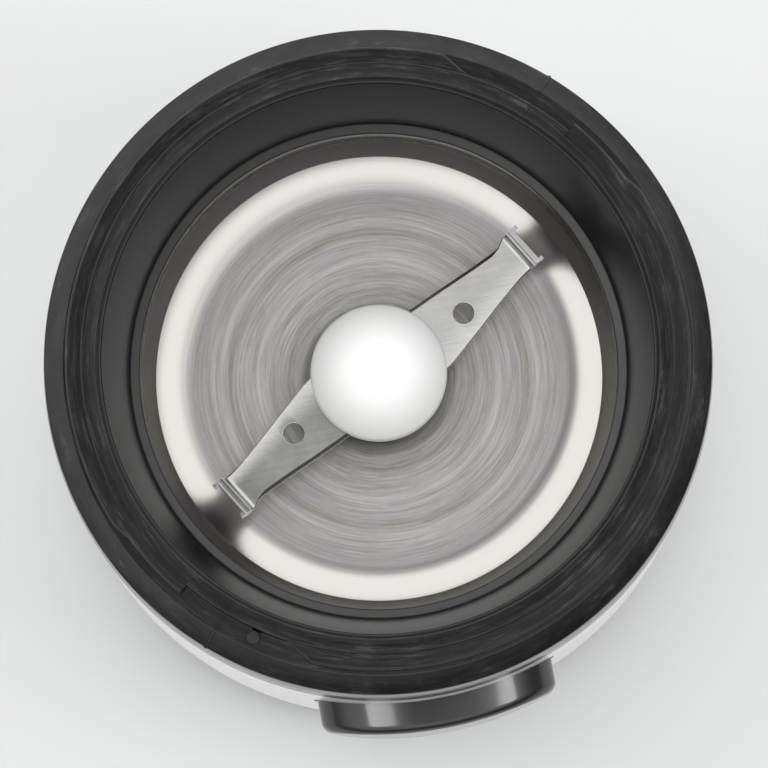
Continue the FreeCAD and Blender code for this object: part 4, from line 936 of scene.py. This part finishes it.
def area_light(name, place, size, power, only=None):
    """A soft round lamp; one meant for a single piece is seen in that piece's gloss."""
    data = bpy.data.lights.new(name, "AREA")
    data.shape = "DISK"
    data.size = size
    data.energy = power
    lamp = bpy.data.objects.new(name, data)
    lamp.location = place
    lamp.visible_glossy = only is not None
    if only is not None:
        lit = bpy.data.collections.new(name + "_lit")
        lit.objects.link(only)
        lamp.light_linking.receiver_collection = lit
    lamp.rotation_euler = (Vector(TARGET) - place).to_track_quat("-Z", "Y").to_euler()
    bpy.context.scene.collection.objects.link(lamp)


def photo_point(across, up, z):
    """A point given across and up the picture, in millimetres, in the part's frame."""
    turn = math.radians(PHOTO_TURN)
    return Vector((across * math.cos(turn) - up * math.sin(turn),
                   across * math.sin(turn) + up * math.cos(turn), z)) * MM


def build_camera():
    """The camera, placed so that the circles of the object fall where they do in the photo."""
    data = bpy.data.cameras.new("camera")
    data.sensor_width = SENSOR_MM
    data.lens = FOCAL_PIXELS / PHOTO_PIXELS * SENSOR_MM
    data.clip_start = 0.05
    data.clip_end = 20.0
    camera = bpy.data.objects.new("camera", data)
    eye = photo_point(*EYE_IN_PHOTO)
    target = photo_point(*AIM_IN_PHOTO)
    forward = (target - eye).normalized()
    upward = photo_point(0.0, 1.0, 0.0).normalized()
    upward = (upward - upward.dot(forward) * forward).normalized()
    right = forward.cross(upward)
    turn = Matrix((right, upward, -forward)).transposed().to_4x4()
    camera.matrix_world = Matrix.Translation(eye) @ turn
    bpy.context.scene.collection.objects.link(camera)
    bpy.context.scene.camera = camera


looks = {
    "white_gloss": moulded("white_gloss", (0.8, 0.8, 0.795), 0.2, 1200.0, 0.03, 0.015, 0.3),
    "white_satin": moulded("white_satin", (0.76, 0.76, 0.755), 0.3, 1500.0, 0.05, 0.015),
    "charcoal": moulded("charcoal", (0.02, 0.02, 0.022), 0.4, 1100.0, 0.15, 0.2),
    "dark_gloss": moulded("dark_gloss", (0.007, 0.007, 0.0075), 0.22, 900.0, 0.02, 0.15, 0.5),
    "bowl_steel": bowl_steel(),
    "blade_steel": blade_steel(),
    "zinc_steel": turned_steel("zinc_steel", (0.6, 0.61, 0.62), 2000.0, 0.28, 0.4),
    "lamination": laminations(),
    "copper": winding("copper", (0.62, 0.26, 0.12)),
    "bronze": turned_steel("bronze", (0.5, 0.35, 0.19), 1500.0, 0.35, 0.5),
    "carbon": moulded("carbon", (0.02, 0.02, 0.021), 0.6, 1500.0, 0.3, 0.2),
    "motor_plastic": moulded("motor_plastic", (0.05, 0.055, 0.06), 0.5, 900.0, 0.15, 0.1),
    "switch_plastic": moulded("switch_plastic", (0.025, 0.025, 0.028), 0.45, 900.0, 0.12, 0.1),
    "pale_plastic": moulded("pale_plastic", (0.6, 0.58, 0.5), 0.4, 900.0, 0.08, 0.05),
    "capacitor_blue": moulded("capacitor_blue", (0.03, 0.07, 0.2), 0.35, 600.0, 0.1, 0.1),
    "rubber": moulded("rubber", (0.015, 0.015, 0.015), 0.7, 1400.0, 0.3, 0.15),
}
dress_nodes(looks)
build_bowl(looks["bowl_steel"], wall_steel_painted_shade())
build_collar(collar_plastic())
build_housing(looks["white_gloss"])
button = build_button(looks["dark_gloss"])
build_hub(looks["white_satin"], looks["charcoal"])
build_blade(looks["blade_steel"])
build_floor()
build_world()
area_light("top_light", photo_point(-60.0, 60.0, 1300.0), 0.3, 2.3)
area_light("left_light", photo_point(-560.0, 130.0, 1050.0), 0.4, 1.45)
area_light("right_light", photo_point(560.0, -160.0, 1050.0), 0.4, 3.15)
area_light("button_light_left", photo_point(-480.0, -120.0, 1000.0), 0.36, 2.2, button)
area_light("button_light_right", photo_point(600.0, 20.0, 900.0), 0.4, 2.7, button)
build_camera()
bpy.context.scene.view_settings.view_transform = "Standard"
